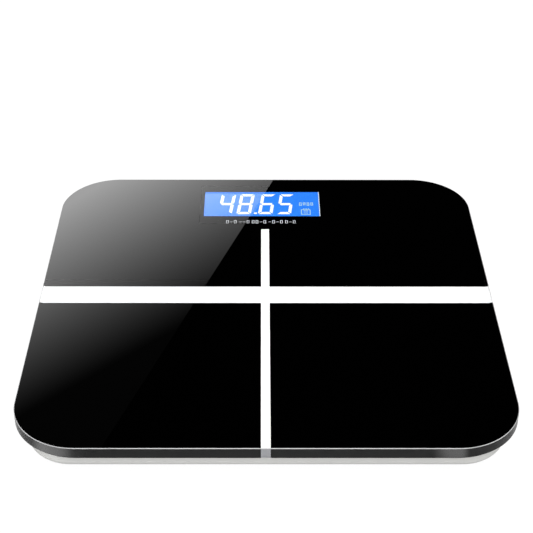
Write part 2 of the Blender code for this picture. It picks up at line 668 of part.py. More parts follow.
def foot(name, x, y):
    """The foot: a plastic cup with a flange held above the tray's floor, and its rubber pad."""
    joint = empty(f"foot_joint_{name}", (x, y, 0))
    boss_top = CELL_BOTTOM - FIT_GAP
    flange_bottom = TRAY_FLOOR + FOOT_TRAVEL + SNUG_GAP
    flange_top = flange_bottom + FLANGE_THICKNESS
    cup_inner = FOOT_RADIUS - CUP_WALL
    recess = PAD_RADIUS + FIT_GAP
    shell = turned(f"foot_shell_{name}", "black_plastic", [
        (0, boss_top), (CUP_BOSS, boss_top), (CUP_BOSS, CUP_FLOOR), (cup_inner, CUP_FLOOR),
        (cup_inner, flange_top), (FLANGE_RADIUS, flange_top), (FLANGE_RADIUS, flange_bottom),
        (FOOT_RADIUS, flange_bottom), (FOOT_RADIUS, CUP_RIM), (recess, CUP_RIM),
        (recess, PAD_SEAT), (0, PAD_SEAT),
    ], (0, 0, 0))
    outer, inner, depth = PAD_GROOVE
    pad = turned(f"foot_pad_{name}", "grey_rubber", [
        (0, PAD_TOP), (PAD_RADIUS, PAD_TOP), (PAD_RADIUS, PAD_CHAMFER),
        (PAD_RADIUS - PAD_CHAMFER, 0), (outer, 0), (outer, depth), (inner, depth), (inner, 0),
        (0, 0),
    ], (0, 0, 0))
    shell.parent = pad.parent = joint


def cross_recess(screw, name, x, y, face, inwards):
    """A cross cut into a screw's head. inwards is the way from the face into the head, +1 or -1."""
    cuts = helpers(f"{name}_cross")
    z0, z1 = sorted((face - inwards * LAP, face + inwards * RECESS_DEPTH))
    box(f"{name}_cross_x", None, x - RECESS_LENGTH, x + RECESS_LENGTH, y - RECESS_HALF,
        y + RECESS_HALF, z0, z1, collection=cuts)
    box(f"{name}_cross_y", None, x - RECESS_HALF, x + RECESS_HALF, y - RECESS_LENGTH,
        y + RECESS_LENGTH, z0, z1 + 0.05 * MM, collection=cuts)
    boolean(screw, cuts, "DIFFERENCE")


def tray_screw(name, x, y):
    head_bottom = FLOOR_CLEARANCE + SNUG_GAP
    head_top = head_bottom + SCREW_HEAD_HEIGHT
    tip = SEAT_BOTTOM + SCREW_REACH
    bevel = 0.5 * MM
    screw = turned(name, "screw_steel", [
        (0, tip), (SCREW_RADIUS - bevel, tip), (SCREW_RADIUS, tip - 2 * bevel),
        (SCREW_RADIUS, head_top), (SCREW_HEAD, head_top), (SCREW_HEAD, head_bottom + bevel),
        (SCREW_HEAD - bevel, head_bottom), (0, head_bottom),
    ], (x, y, 0), 12)
    cross_recess(screw, name, x, y, head_bottom, 1)


def sensor_lead(name, sx, sy):
    """The three-core lead from one load cell to the board, laid on the tray's floor."""
    route = [(sx * x, sy * y, z) for x, y, z in SENSOR_LEAD_START]
    if sy < 0:
        landing = FRONT_LEAD_LANDINGS[sx]
        route += [(sx * x, y, z) for x, y, z in FRONT_LEAD_RUN]
        last_x = route[-1][0]
        route += [((last_x + landing[0]) / 2, 80.0, 11.6), landing]
    else:
        landing = REAR_LEAD_LANDINGS[sx]
        route += [(landing[0] + sx * x, y, z) for x, y, z in REAR_LEAD_RUN]
        route += [landing]
    tube(f"sensor_lead_{name}", "lead_grey", smooth_route(route, 6 * MM), SENSOR_LEAD_RADIUS)


def corners():
    for name, (sx, sy) in CORNERS.items():
        x, y = sx * FOOT_OFFSET, sy * FOOT_OFFSET
        sensor_seat(name, x, y, sx, sy)
        load_cell(name, x, y)
        foot(name, x, y)
        tray_screw(f"tray_screw_{name}_a", x - EAR_X, y)
        tray_screw(f"tray_screw_{name}_b", x + EAR_X, y)
        sensor_lead(name, sx, sy)


# ---------------------------------------------------------------- display
def display_panel():
    """The display glass, its light guide, the strip that connects it, and their holder."""
    x0, x1, y0, y1 = LCD
    box("lcd_panel", "lcd_blue", x0, x1, y0, y1, LCD_BOTTOM, LCD_TOP)
    box("backlight_panel", "white_acrylic", x0, x1, y0 + BACKLIGHT_SETBACK, y1, BACKLIGHT_BOTTOM,
        BACKLIGHT_TOP)
    box("zebra_strip", "zebra_rubber", x0 + ZEBRA_INSET, x1 - ZEBRA_INSET, y0 + ZEBRA_Y[0],
        y0 + ZEBRA_Y[1], BOARD_TOP + SNUG_GAP, LCD_BOTTOM - SNUG_GAP)
    holder = box("display_holder", "black_plastic", x0 - HOLDER_WALL, x1 + HOLDER_WALL,
                 y0 - HOLDER_WALL, y1 + HOLDER_WALL, BOARD_TOP + SNUG_GAP, LCD_TOP - HOLDER_DROP)
    cuts = helpers("holder_cuts")
    box("holder_cut", None, x0 - SNUG_GAP, x1 + SNUG_GAP, y0 - SNUG_GAP, y1 + SNUG_GAP,
        BOARD_TOP - PAST, LCD_TOP + PAST, collection=cuts)
    boolean(holder, cuts, "DIFFERENCE")


def board_screw(name, x, y):
    head_bottom = BOARD_TOP + SNUG_GAP
    head_top = head_bottom + BOARD_SCREW_HEAD_HEIGHT
    screw = turned(name, "screw_steel", [
        (0, head_top), (BOARD_SCREW_HEAD, head_top), (BOARD_SCREW_HEAD, head_bottom),
        (BOARD_SCREW_RADIUS, head_bottom), (BOARD_SCREW_RADIUS, BOARD_SCREW_TIP),
        (0, BOARD_SCREW_TIP),
    ], (x, y, 0), 12)
    cross_recess(screw, name, x, y, head_top, -1)


def main_board():
    """The board, its two screws, and the chip and switch on its underside."""
    board = box("main_board", "board_green", *BOARD, BOARD_BOTTOM, BOARD_TOP)
    cuts = helpers("board_cuts")
    for i, (x, y) in enumerate(BOARD_SCREWS, start=1):
        cylinder(f"board_hole_{i}", None, x, y, BOARD_BOTTOM - PAST, BOARD_TOP + PAST, BOARD_HOLE,
                 12, cuts)
        board_screw(f"board_screw_{i}", x, y)
    boolean(board, cuts, "DIFFERENCE")
    box("controller_chip", "chip_black", *CHIP, PART_TOP - CHIP_HEIGHT, PART_TOP)
    switch_bottom = PART_TOP - SWITCH_HEIGHT
    switch = square("tact_switch", "chip_black", BUTTON_X, BUTTON_Y, SWITCH_HALF, switch_bottom,
                    PART_TOP)
    added = helpers("switch_plunger")
    cylinder("plunger", None, BUTTON_X, BUTTON_Y, PART_TOP - PLUNGER_REACH, PART_TOP - LAP,
             PLUNGER_RADIUS, 12, added)
    boolean(switch, added, "UNION")


def unit_button():
    """The push button in the tray's floor, with a flange inside that keeps it from falling out."""
    joint = empty("unit_button_joint", (BUTTON_X, BUTTON_Y, FLOOR_CLEARANCE))
    bottom = FLOOR_CLEARANCE - BUTTON_PROUD
    flange_bottom = TRAY_FLOOR + BUTTON_FLANGE_GAP
    flange_top = flange_bottom + BUTTON_FLANGE_THICKNESS
    nub_top = flange_top + BUTTON_NUB_HEIGHT
    button = turned("unit_button", "black_plastic", [
        (0, nub_top), (BUTTON_NUB, nub_top), (BUTTON_NUB, flange_top),
        (BUTTON_FLANGE, flange_top), (BUTTON_FLANGE, flange_bottom),
        (BUTTON_RADIUS, flange_bottom), (BUTTON_RADIUS, bottom + BUTTON_CHAMFER),
        (BUTTON_RADIUS - BUTTON_CHAMFER, bottom), (0, bottom),
    ], (BUTTON_X, BUTTON_Y, 0), 20)
    parent_in_place(button, joint)


# ---------------------------------------------------------------- power
def battery_door():
    """The door plate, the two hooks it tips about, and the latch at its other end."""
    joint = empty("battery_door_joint", (0, DOOR_FRONT - SNUG_GAP, DOOR_BOTTOM))
    door = box("battery_door", "tray_plastic", -DOOR_HALF_X, DOOR_HALF_X, DOOR_FRONT, DOOR_REAR,
               DOOR_BOTTOM, DOOR_TOP, DOOR_CORNER, 3)
    added, cut = helpers("door_additions"), helpers("door_cuts")
    root = DOOR_TOP - LAP
    lip_bottom, lip_top, riser_top = HOOK_LEVELS
    for side, name in ((-1, "left"), (1, "right")):
        x = side * HOOK_X
        box(f"hook_riser_{name}", None, x - HOOK_HALF, x + HOOK_HALF, DOOR_FRONT + HOOK_RISER[0],
            DOOR_FRONT + HOOK_RISER[1], root, riser_top, collection=added)
        lip_half = HOOK_HALF - 0.1 * MM
        box(f"hook_lip_{name}", None, x - lip_half, x + lip_half, DOOR_FRONT + HOOK_LIP[0],
            DOOR_FRONT + HOOK_LIP[1], lip_bottom, lip_top, collection=added)
    hook_bottom, hook_top, tongue_top = LATCH_LEVELS
    box("latch_tongue", None, -LATCH_HALF, LATCH_HALF, DOOR_REAR + LATCH_TONGUE[0],
        DOOR_REAR + LATCH_TONGUE[1], root, tongue_top, collection=added)
    hook_half = LATCH_HALF - 0.1 * MM
    box("latch_hook", None, -hook_half, hook_half, DOOR_REAR + LATCH_HOOK[0],
        DOOR_REAR + LATCH_HOOK[1], hook_bottom, hook_top, collection=added)
    for i in range(GRIP_COUNT):
        y = BAY_Y + GRIP_START + i * GRIP_PITCH
        box(f"grip_groove_{i}", None, -GRIP_HALF, GRIP_HALF, y, y + GRIP_WIDTH,
            DOOR_BOTTOM - PAST, DOOR_BOTTOM + GRIP_DEPTH, collection=cut)
    boolean(door, added, "UNION")
    boolean(door, cut, "DIFFERENCE")
    parent_in_place(door, joint)


def battery_cell(name, y, facing):
    """An AAA cell lying along X, its raised terminal facing -X or +X as facing is -1 or +1."""
    half = AAA_LENGTH / 2
    shoulder = half - NUB_HEIGHT
    cell = turned(name, "cell_sleeve", [
        (0, half), (NUB_RADIUS, half), (NUB_RADIUS, shoulder), (SHOULDER_RADIUS, shoulder),
        (AAA_RADIUS, shoulder - SHOULDER_DROP), (AAA_RADIUS, BASE_CHAMFER - half),
        (AAA_RADIUS - BASE_CHAMFER, -half), (0, -half),
    ], (facing * AAA_SHIFT, y, AAA_HEIGHT), 20)
    cell.rotation_euler = (0, facing * math.radians(90), 0)


def contact_spring(name, y, side):
    """A tapering coil from the end plate to a cell's flat end, at -X or +X as side is -1 or +1."""
    steps = round(SPRING_TURNS * SPRING_POINTS_PER_TURN)
    points = []
    for k in range(steps + 1):
        t = k / steps
        angle = 2 * math.pi * SPRING_TURNS * t
        radius = SPRING_RADII[0] + (SPRING_RADII[1] - SPRING_RADII[0]) * t
        x = side * (SPRING_ENDS[0] + (SPRING_ENDS[1] - SPRING_ENDS[0]) * t)
        points.append((x, y + radius * math.cos(angle), AAA_HEIGHT + radius * math.sin(angle)))
    tube(name, "spring_steel", points, SPRING_WIRE)


def contact_plates():
    """The bridge at one end of the bay, and at the other two plates whose tails leave the bay."""
    low, high = AAA_HEIGHT - CONTACT_HALF, AAA_HEIGHT + CONTACT_HALF
    box("contact_bridge", "spring_steel", CONTACT_INNER, CONTACT_OUTER, CELL_NEAR - CONTACT_HALF,
        CELL_FAR + CONTACT_HALF, low, high)
    for name, y in (("contact_positive", CELL_NEAR), ("contact_negative", CELL_FAR)):
        plate = box(name, "spring_steel", -CONTACT_OUTER, -CONTACT_INNER, y - CONTACT_HALF,
                    y + CONTACT_HALF, low, high)
        added = helpers(f"{name}_tail")
        box(f"{name}_tail_bar", None, -TAIL_END, -CONTACT_INNER - 0.1 * MM, y - TAIL_HALF,
            y + TAIL_HALF, *TAIL_LEVELS, collection=added)
        boolean(plate, added, "UNION")


def battery_parts():
    battery_cell("battery_cell_1", CELL_NEAR, -1)
    battery_cell("battery_cell_2", CELL_FAR, 1)
    contact_spring("contact_spring_1", CELL_NEAR, 1)
    contact_spring("contact_spring_2", CELL_FAR, -1)
    contact_plates()
    for colour, route in BATTERY_LEAD_RUNS.items():
        tube(f"battery_lead_{colour}", f"lead_{colour}", smooth_route(route, 5 * MM),
             BATTERY_LEAD_RADIUS)


clear_scene()
SCALE = new_collection("bathroom_scale")
CUTTERS = new_collection("helpers")
MATERIALS = make_materials()
glass_platform()
printed_ink()
bonding_tape()
base_tray()
corners()
display_panel()
main_board()
unit_button()
battery_door()
battery_parts()
hide_helpers()
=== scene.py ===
"""Looks for a digital bathroom scale: printed glass platform, pale tray, backlit display.

Metres, +Z up, +Y towards the display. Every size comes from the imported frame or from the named
values below.
"""

import json
import math

import bmesh
import bpy
from mathutils import Matrix, Vector


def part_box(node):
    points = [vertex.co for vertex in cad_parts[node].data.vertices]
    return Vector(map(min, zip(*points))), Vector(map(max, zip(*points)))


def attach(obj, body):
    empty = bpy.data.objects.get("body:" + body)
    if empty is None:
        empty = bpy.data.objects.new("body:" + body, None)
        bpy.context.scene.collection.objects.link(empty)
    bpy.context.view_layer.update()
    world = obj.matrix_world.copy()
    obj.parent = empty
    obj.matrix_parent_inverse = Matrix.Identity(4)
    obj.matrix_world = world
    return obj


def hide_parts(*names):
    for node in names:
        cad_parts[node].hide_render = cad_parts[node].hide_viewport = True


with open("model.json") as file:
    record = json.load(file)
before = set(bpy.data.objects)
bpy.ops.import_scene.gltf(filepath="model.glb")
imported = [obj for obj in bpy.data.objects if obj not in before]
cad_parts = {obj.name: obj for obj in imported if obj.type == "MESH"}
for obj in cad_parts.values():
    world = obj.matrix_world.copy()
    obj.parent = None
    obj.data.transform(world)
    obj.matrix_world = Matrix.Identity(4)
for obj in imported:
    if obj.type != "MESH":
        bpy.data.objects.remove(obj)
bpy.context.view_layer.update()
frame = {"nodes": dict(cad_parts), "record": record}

MM = 0.001
CORNERS = {
    "front_left": (-1, -1),
    "front_right": (1, -1),
    "rear_left": (-1, 1),
    "rear_right": (1, 1),
}


def mm(*values):
    return tuple(v * MM for v in values)


# Places read from the frame
GLASS_LOW, GLASS_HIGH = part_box("glass_platform")
GLASS_HALF = GLASS_HIGH.x
TRAY_LOW, TRAY_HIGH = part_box("base_tray")
TRAY_HALF = TRAY_HIGH.x
LCD_LOW, LCD_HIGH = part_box("lcd_panel")
DOOR_LOW, DOOR_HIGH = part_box("battery_door")
BUTTON_LOW, BUTTON_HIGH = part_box("unit_button")
BUTTON_AT = (BUTTON_LOW + BUTTON_HIGH) / 2
FOOT_LOW, FOOT_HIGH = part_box("foot_shell_front_right")
FOOT_X = (FOOT_LOW.x + FOOT_HIGH.x) / 2

# Glass and the print on its underside. Clear glass runs on past the print, by SEE_IN in front of
# it and beside the stem, and by SEE_PAST behind the bar and behind and beside the window
GLASS_CORNER = 35 * MM
ARRIS, LOWER_ARRIS = mm(0.32, 0.95)
ARC_STEPS = 40
SEE_IN, SEE_PAST = mm(4.6, 2.2)
INK_INSET, INK_BITE, INK_DEPTH = mm(0.97, 0.05, 0.2)
BAR_FRONT, BAR_REAR = mm(-3.95, 12.1)
STEM_LEFT, STEM_RIGHT, STEM_REAR = mm(-2.9, 2.0, 74)
MARKS_FRONT = 80.8 * MM
WINDOW = mm(-39.5, 34.8, 89.3, 119.2)
WINDOW_CORNER, CROSS_LAP, CROSS_DROP = mm(0.4, 0.5, 0.02)

# Tray
TRAY_CORNER, TRAY_ROUND, TRAY_WALL, TRAY_BOTTOM = mm(24.5, 5, 2.4, 3.5)
TRAY_FLOOR = TRAY_BOTTOM + TRAY_WALL
POD_BOTTOM = TRAY_LOW.z


# ---- meshes
def link(name, data, *materials):
    obj = bpy.data.objects.new(name, data)
    bpy.context.scene.collection.objects.link(obj)
    for material in materials:
        data.materials.append(material)
    return obj


def smooth(obj, angle=32):
    obj.data.shade_smooth()
    obj.data.set_sharp_from_angle(angle=math.radians(angle))
    return obj


def rounded_outline(half_x, half_y, corner, steps=28, centre=(0, 0)):
    """Points anticlockwise round a rectangle with arcs at its corners."""
    points = []
    for quarter, (sx, sy) in enumerate(((1, 1), (-1, 1), (-1, -1), (1, -1))):
        cx, cy = centre[0] + sx * (half_x - corner), centre[1] + sy * (half_y - corner)
        for k in range(steps + 1):
            angle = math.pi / 2 * (quarter + k / steps)
            points.append((cx + corner * math.cos(angle), cy + corner * math.sin(angle)))
    return points


def loft_mesh(rings, slots=None):
    """A closed solid through rings of points, each (outline, height).

    slots gives the material of the bottom, of each band between two rings, and of the top."""
    slots = slots or [0] * (len(rings) + 1)
    bm = bmesh.new()
    made = [[bm.verts.new((x, y, z)) for x, y in outline] for outline, z in rings]
    count = len(made[0])
    bm.faces.new(reversed(made[0])).material_index = slots[0]
    for slot, low, high in zip(slots[1:], made, made[1:]):
        for k in range(count):
            face = bm.faces.new((low[k], low[(k + 1) % count], high[(k + 1) % count], high[k]))
            face.material_index = slot
    bm.faces.new(made[-1]).material_index = slots[-1]
    bmesh.ops.recalc_face_normals(bm, faces=bm.faces)
    return bm


def to_object(name, bm, *materials):
    mesh = bpy.data.meshes.new(name)
    bm.to_mesh(mesh)
    bm.free()
    return link(name, mesh, *materials)


def loft(name, rings, *materials):
    return to_object(name, loft_mesh(rings), *materials)


def fillet(radius_x, radius_z, steps):
    """(inset, drop) pairs of a quarter round, from the flat face out to the side."""
    return [
        (radius_x * (1 - math.sin(a)), radius_z * (1 - math.cos(a)))
        for a in (math.pi / 2 * k / steps for k in range(steps + 1))
    ]


def slab(name, x0, x1, y0, y1, z0, z1, corner, edge, *materials, steps=6, rounds=2):
    """A plate with rounded corners whose top and bottom edges are eased by the radius edge."""
    centre = ((x0 + x1) / 2, (y0 + y1) / 2)
    rings = []
    for inset, drop in fillet(edge, edge, rounds):
        rings.append((inset, z0 + drop))
    for inset, drop in reversed(fillet(edge, edge, rounds)):
        rings.append((inset, z1 - drop))
    shaped = [
        (rounded_outline((x1 - x0) / 2 - inset, (y1 - y0) / 2 - inset,
                         max(corner - inset, 0.02 * MM), steps, centre), z)
        for inset, z in rings
    ]
    return smooth(loft(name, shaped, *materials))


def lathe(name, profile, bands, *materials, sides=72, centre=(0, 0, 0), axis="Z"):
    """A solid turned from (radius, height) points, first and last on the axis. bands are slots."""
    bm = bmesh.new()
    rings = []
    for radius, height in profile:
        if radius < 1e-9:
            rings.append([bm.verts.new((0, 0, height))])
        else:
            rings.append([
                bm.verts.new((radius * math.cos(a), radius * math.sin(a), height))
                for a in (2 * math.pi * k / sides for k in range(sides))
            ])
    for band, (low, high) in enumerate(zip(rings, rings[1:])):
        for k in range(sides):
            n = (k + 1) % sides
            if len(low) == 1:
                corners = (low[0], high[k], high[n])
            elif len(high) == 1:
                corners = (low[k], low[n], high[0])
            else:
                corners = (low[k], low[n], high[n], high[k])
            bm.faces.new(corners).material_index = bands[band] if bands else 0
    turn = Matrix.Rotation(math.radians(90), 4, "Y") if axis == "X" else Matrix.Identity(4)
    bmesh.ops.transform(bm, matrix=Matrix.Translation(centre) @ turn, verts=bm.verts)
    bmesh.ops.recalc_face_normals(bm, faces=bm.faces)
    return smooth(to_object(name, bm, *materials))


def eased(points, radius, steps=3):
    """A profile's points with each corner between two long sides turned into a small arc."""
    made = [points[0]]
    for before, at, after in zip(points, points[1:], points[2:]):
        p, q, r = Vector(before), Vector(at), Vector(after)
        back, ahead = (p - q), (r - q)
        reach = min(radius, back.length * 0.45, ahead.length * 0.45)
        start, end = q + back.normalized() * reach, q + ahead.normalized() * reach
        for k in range(steps + 1):
            t = k / steps
            made.append(tuple(start * (1 - t) ** 2 + q * 2 * t * (1 - t) + end * t ** 2))
    return [*made, points[-1]]


def merge(name, parts, *materials):
    """One mesh from several objects, which are removed."""
    bm = bmesh.new()
    for part in parts:
        bm.from_mesh(part.data)
        mesh = part.data
        bpy.data.objects.remove(part)
        bpy.data.meshes.remove(mesh)
    return to_object(name, bm, *materials)


def carve(obj, parts, operation):
    """Joins helper solids to obj or cuts them from it, and keeps the result as obj's mesh."""
    group = bpy.data.collections.new(f"{obj.name}_{operation.lower()}")
    for part in parts:
        group.objects.link(part)
    step = obj.modifiers.new(operation, "BOOLEAN")
    step.operation = operation
    step.solver = "EXACT"
    step.operand_type = "COLLECTION"
    step.collection = group
    bake(obj)
    for part in parts:
        bpy.data.objects.remove(part)
    bpy.data.collections.remove(group)
    return obj


def bake(obj):
    """Replaces obj's mesh with what its modifiers make of it."""
    bpy.context.view_layer.update()
    made = bpy.data.meshes.new_from_object(
        obj.evaluated_get(bpy.context.evaluated_depsgraph_get()))
    obj.modifiers.clear()
    old = obj.data
    obj.data = made
    bpy.data.meshes.remove(old)


def weigh(obj, angle=35):
    """Lets flat faces keep their own normals next to small rounds."""
    smooth(obj, angle)
    step = obj.modifiers.new("flats", "WEIGHTED_NORMAL")
    step.keep_sharp = True
    return obj


def box(x0, x1, y0, y1, z0, z1, corner=0.0, steps=8):
    centre = ((x0 + x1) / 2, (y0 + y1) / 2)
    if corner:
        outline = rounded_outline((x1 - x0) / 2, (y1 - y0) / 2, corner, steps, centre)
    else:
        outline = [(x1, y1), (x0, y1), (x0, y0), (x1, y0)]
    return loft("helper", [(outline, z0), (outline, z1)])


def rod(x, y, z0, z1, radius, sides=64):
    outline = [
        (x + radius * math.cos(a), y + radius * math.sin(a))
        for a in (2 * math.pi * k / sides for k in range(sides))
    ]
    return loft("helper", [(outline, z0), (outline, z1)])


def frame_of(x0, x1, y0, y1, line):
    """Four bars round a rectangle."""
    return [(x0, x1, y0, y0 + line), (x0, x1, y1 - line, y1),
            (x0, x0 + line, y0 + line, y1 - line), (x1 - line, x1, y0 + line, y1 - line)]


# ---- materials
BOARD_TRACKS_PER_METRE = 160


def fill_ramp(ramp, stops):
    elements = ramp.color_ramp.elements
    while len(elements) < len(stops):
        elements.new(0.5)
    for element, (place, colour) in zip(elements, stops):
        element.position = place
        element.color = (*colour, 1)


def mixed(tree, amount, first, second):
    """first where amount is 0 and second where it is 1."""
    mix = tree.nodes.new("ShaderNodeMixShader")
    for source, socket in zip((amount, first, second), mix.inputs):
        tree.links.new(source, socket)
    return mix.outputs[0]


def set_range(node, *values):
    for socket, value in zip(("From Min", "From Max", "To Min", "To Max"), values):
        node.inputs[socket].default_value = value


class Shader:
    """A material's node tree with short names for what is built in it."""

    def __init__(self, name):
        self.material = bpy.data.materials.new(name)
        self.material.use_nodes = True
        self.tree = self.material.node_tree
        self.main = self.tree.nodes["Principled BSDF"]
        self.output = self.tree.nodes["Material Output"]
        self.place = self.tree.nodes.new("ShaderNodeTexCoord").outputs["Object"]

    def set(self, **values):
        for name, value in values.items():
            socket = self.main.inputs[name.replace("_", " ")]
            socket.default_value = (*value, 1) if isinstance(value, tuple) else value
        return self

    def add(self, kind, **values):
        node = self.tree.nodes.new(f"ShaderNode{kind}")
        for name, value in values.items():
            setattr(node, name, value)
        return node

    def join(self, a, b):
        self.tree.links.new(a, b)

    def noise(self, size, detail=3.0, stretch=(1, 1, 1)):
        """Noise whose features are about size across, 0 to 1."""
        mapping = self.add("Mapping")
        mapping.inputs["Scale"].default_value = [1 / (size * s) for s in stretch]
        texture = self.add("TexNoise")
        texture.inputs["Scale"].default_value = 1.0
        texture.inputs["Detail"].default_value = detail
        self.join(self.place, mapping.inputs["Vector"])
        self.join(mapping.outputs["Vector"], texture.inputs["Vector"])
        return texture.outputs["Fac"]

    def span(self, source, low, high):
        """source, from 0.3 to 0.7, mapped to low to high."""
        node = self.add("MapRange")
        set_range(node, 0.3, 0.7, low, high)
        self.join(source, node.inputs["Value"])
        return node.outputs["Result"]

    def tones(self, source, *stops):
        """A colour ramp over source with (place, colour) stops."""
        ramp = self.add("ValToRGB")
        fill_ramp(ramp, stops)
        self.join(source, ramp.inputs["Fac"])
        return ramp.outputs["Color"]

    def grain(self, source, height):
        """Bump of this height in metres on the main shader."""
        bump = self.add("Bump")
        bump.inputs["Distance"].default_value = height
        bump.inputs["Strength"].default_value = 1.0
        self.join(source, bump.inputs["Height"])
        self.join(bump.outputs["Normal"], self.main.inputs["Normal"])
        return self


def shaded(colour, factor):
    return tuple(min(c * factor, 1.0) for c in colour)


def moulded(name, colour, roughness, patch=9 * MM, vary=0.04, grain=0.35 * MM, height=0.006 * MM,
            metallic=0.0, stretch=(1, 1, 1)):
    """Plastic, rubber or metal: faint patches of tone and gloss, and a fine surface grain."""
    s = Shader(name).set(Roughness=roughness, Metallic=metallic)
    tone = s.noise(patch, stretch=stretch)
    s.join(s.tones(tone, (0.3, shaded(colour, 1 - vary)), (0.7, shaded(colour, 1 + vary))),
           s.main.inputs["Base Color"])
    s.join(s.span(s.noise(patch / 3, stretch=stretch), roughness * 0.88, roughness * 1.12),
           s.main.inputs["Roughness"])
    s.grain(s.noise(grain, 2.0, stretch), height)
    return s.material


def wiped(s):
    """A trace of wiping marks in the polish of the glass."""
    s.join(s.span(s.noise(35 * MM, 4.0, (1, 3, 1)), 0.0, 0.010), s.main.inputs["Roughness"])
    return s


def lit_through(s, tint):
    """Lets lamps shine straight through to the print."""
    lamp = s.add("BsdfTransparent")
    lamp.inputs["Color"].default_value = (*tint, 1)
    shadow = s.add("LightPath").outputs["Is Shadow Ray"]
    s.join(mixed(s.tree, shadow, s.main.outputs[0], lamp.outputs[0]), s.output.inputs["Surface"])
    return s.material


def clear_glass():
    s = Shader("glass_clear").set(Base_Color=(1, 1, 1), Transmission_Weight=1.0, IOR=1.5)
    return lit_through(wiped(s), (0.94, 0.95, 0.95))


def glass_over_black():
    """Polished glass with black ink all that shows through it."""
    return wiped(Shader("glass_over_black").set(Base_Color=(0, 0, 0), IOR=1.5)).material


def shaded_edge_glass():
    """The plate's ground, polished side: a dark grey tint of painted shade, so the ink shows
    faintly.
    """
    s = Shader("glass_edge_shaded").set(Transmission_Weight=1.0, IOR=1.5, Roughness=0.08)
    # Painted shade: the side's glass is tinted far darker than real glass, which dims all that
    # shows through it
    s.join(s.tones(s.noise(6 * MM), (0.3, (0.068, 0.069, 0.076)), (0.7, (0.078, 0.079, 0.086))),
           s.main.inputs["Base Color"])
    # Lamps shining through the side are dimmed to the same painted shade
    return lit_through(s, (0.3, 0.3, 0.32))


def ground_glass():
    """The narrow arris, ground to a pale matt line."""
    s = Shader("glass_ground").set(Roughness=0.33, IOR=1.5)
    s.join(s.tones(s.noise(2 * MM), (0.3, (0.31, 0.31, 0.315)), (0.7, (0.38, 0.38, 0.385))),
           s.main.inputs["Base Color"])
    return s.grain(s.noise(0.2 * MM), 0.004 * MM).material


def ink(name, colour):
    """Screen-printed ink, seen through the glass it is bonded to, so without a shine of its own."""
    s = Shader(name).set(Roughness=0.6, Specular_IOR_Level=0.0)
    s.join(s.tones(s.noise(4 * MM), (0.3, shaded(colour, 0.98)), (0.7, colour)),
           s.main.inputs["Base Color"])
    return s.material


def display_blue():
    """The lit field of the display, a little brighter towards its middle."""
    s = Shader("lcd_field").set(Roughness=0.25, Specular_IOR_Level=0.0, Emission_Strength=1.0,
                                Base_Color=(0.01, 0.04, 0.15))
    split = s.add("SeparateXYZ")
    s.join(s.place, split.inputs["Vector"])
    across = s.add("MapRange")
    set_range(across, LCD_LOW.x, LCD_HIGH.x)
    s.join(split.outputs["X"], across.inputs["Value"])
    colour = s.tones(across.outputs["Result"], (0.0, (0.012, 0.215, 0.90)),
                     (0.55, (0.020, 0.225, 0.98)), (1.0, (0.016, 0.200, 0.96)))
    s.join(colour, s.main.inputs["Emission Color"])
    return s.material


def glowing(name, colour, strength):
    """A lit segment: an even glow with the faintest mottling."""
    s = Shader(name).set(Roughness=0.4, Specular_IOR_Level=0.0, Emission_Strength=strength,
                         Base_Color=(0.02, 0.02, 0.02))
    tone = s.tones(s.noise(1.5 * MM), (0.3, shaded(colour, 0.96)), (0.7, colour))
    s.join(tone, s.main.inputs["Emission Color"])
    return s.material


def circuit_board():
    """Green solder mask with paler copper tracks under it."""
    s = Shader("board_mask").set(Roughness=0.35)
    cells = s.add("TexVoronoi", feature="DISTANCE_TO_EDGE", distance="MANHATTAN")
    cells.inputs["Scale"].default_value = BOARD_TRACKS_PER_METRE
    s.join(s.place, cells.inputs["Vector"])
    s.join(s.tones(cells.outputs["Distance"], (0.03, (0.06, 0.30, 0.10)),
                   (0.06, (0.012, 0.12, 0.035))), s.main.inputs["Base Color"])
    s.grain(s.noise(0.8 * MM), 0.01 * MM)
    return s.material


def striped(name, first, second, pitch, direction, roughness):
    """Two tones in even bands, as in a layered connector strip."""
    s = Shader(name).set(Roughness=roughness)
    wave = s.add("TexWave", wave_type="BANDS", bands_direction=direction)
    wave.inputs["Scale"].default_value = 1 / pitch / math.pi
    s.join(s.place, wave.inputs["Vector"])
    s.join(s.tones(wave.outputs["Fac"], (0.45, first), (0.55, second)),
           s.main.inputs["Base Color"])
    s.grain(s.noise(0.5 * MM), 0.01 * MM)
    return s.material


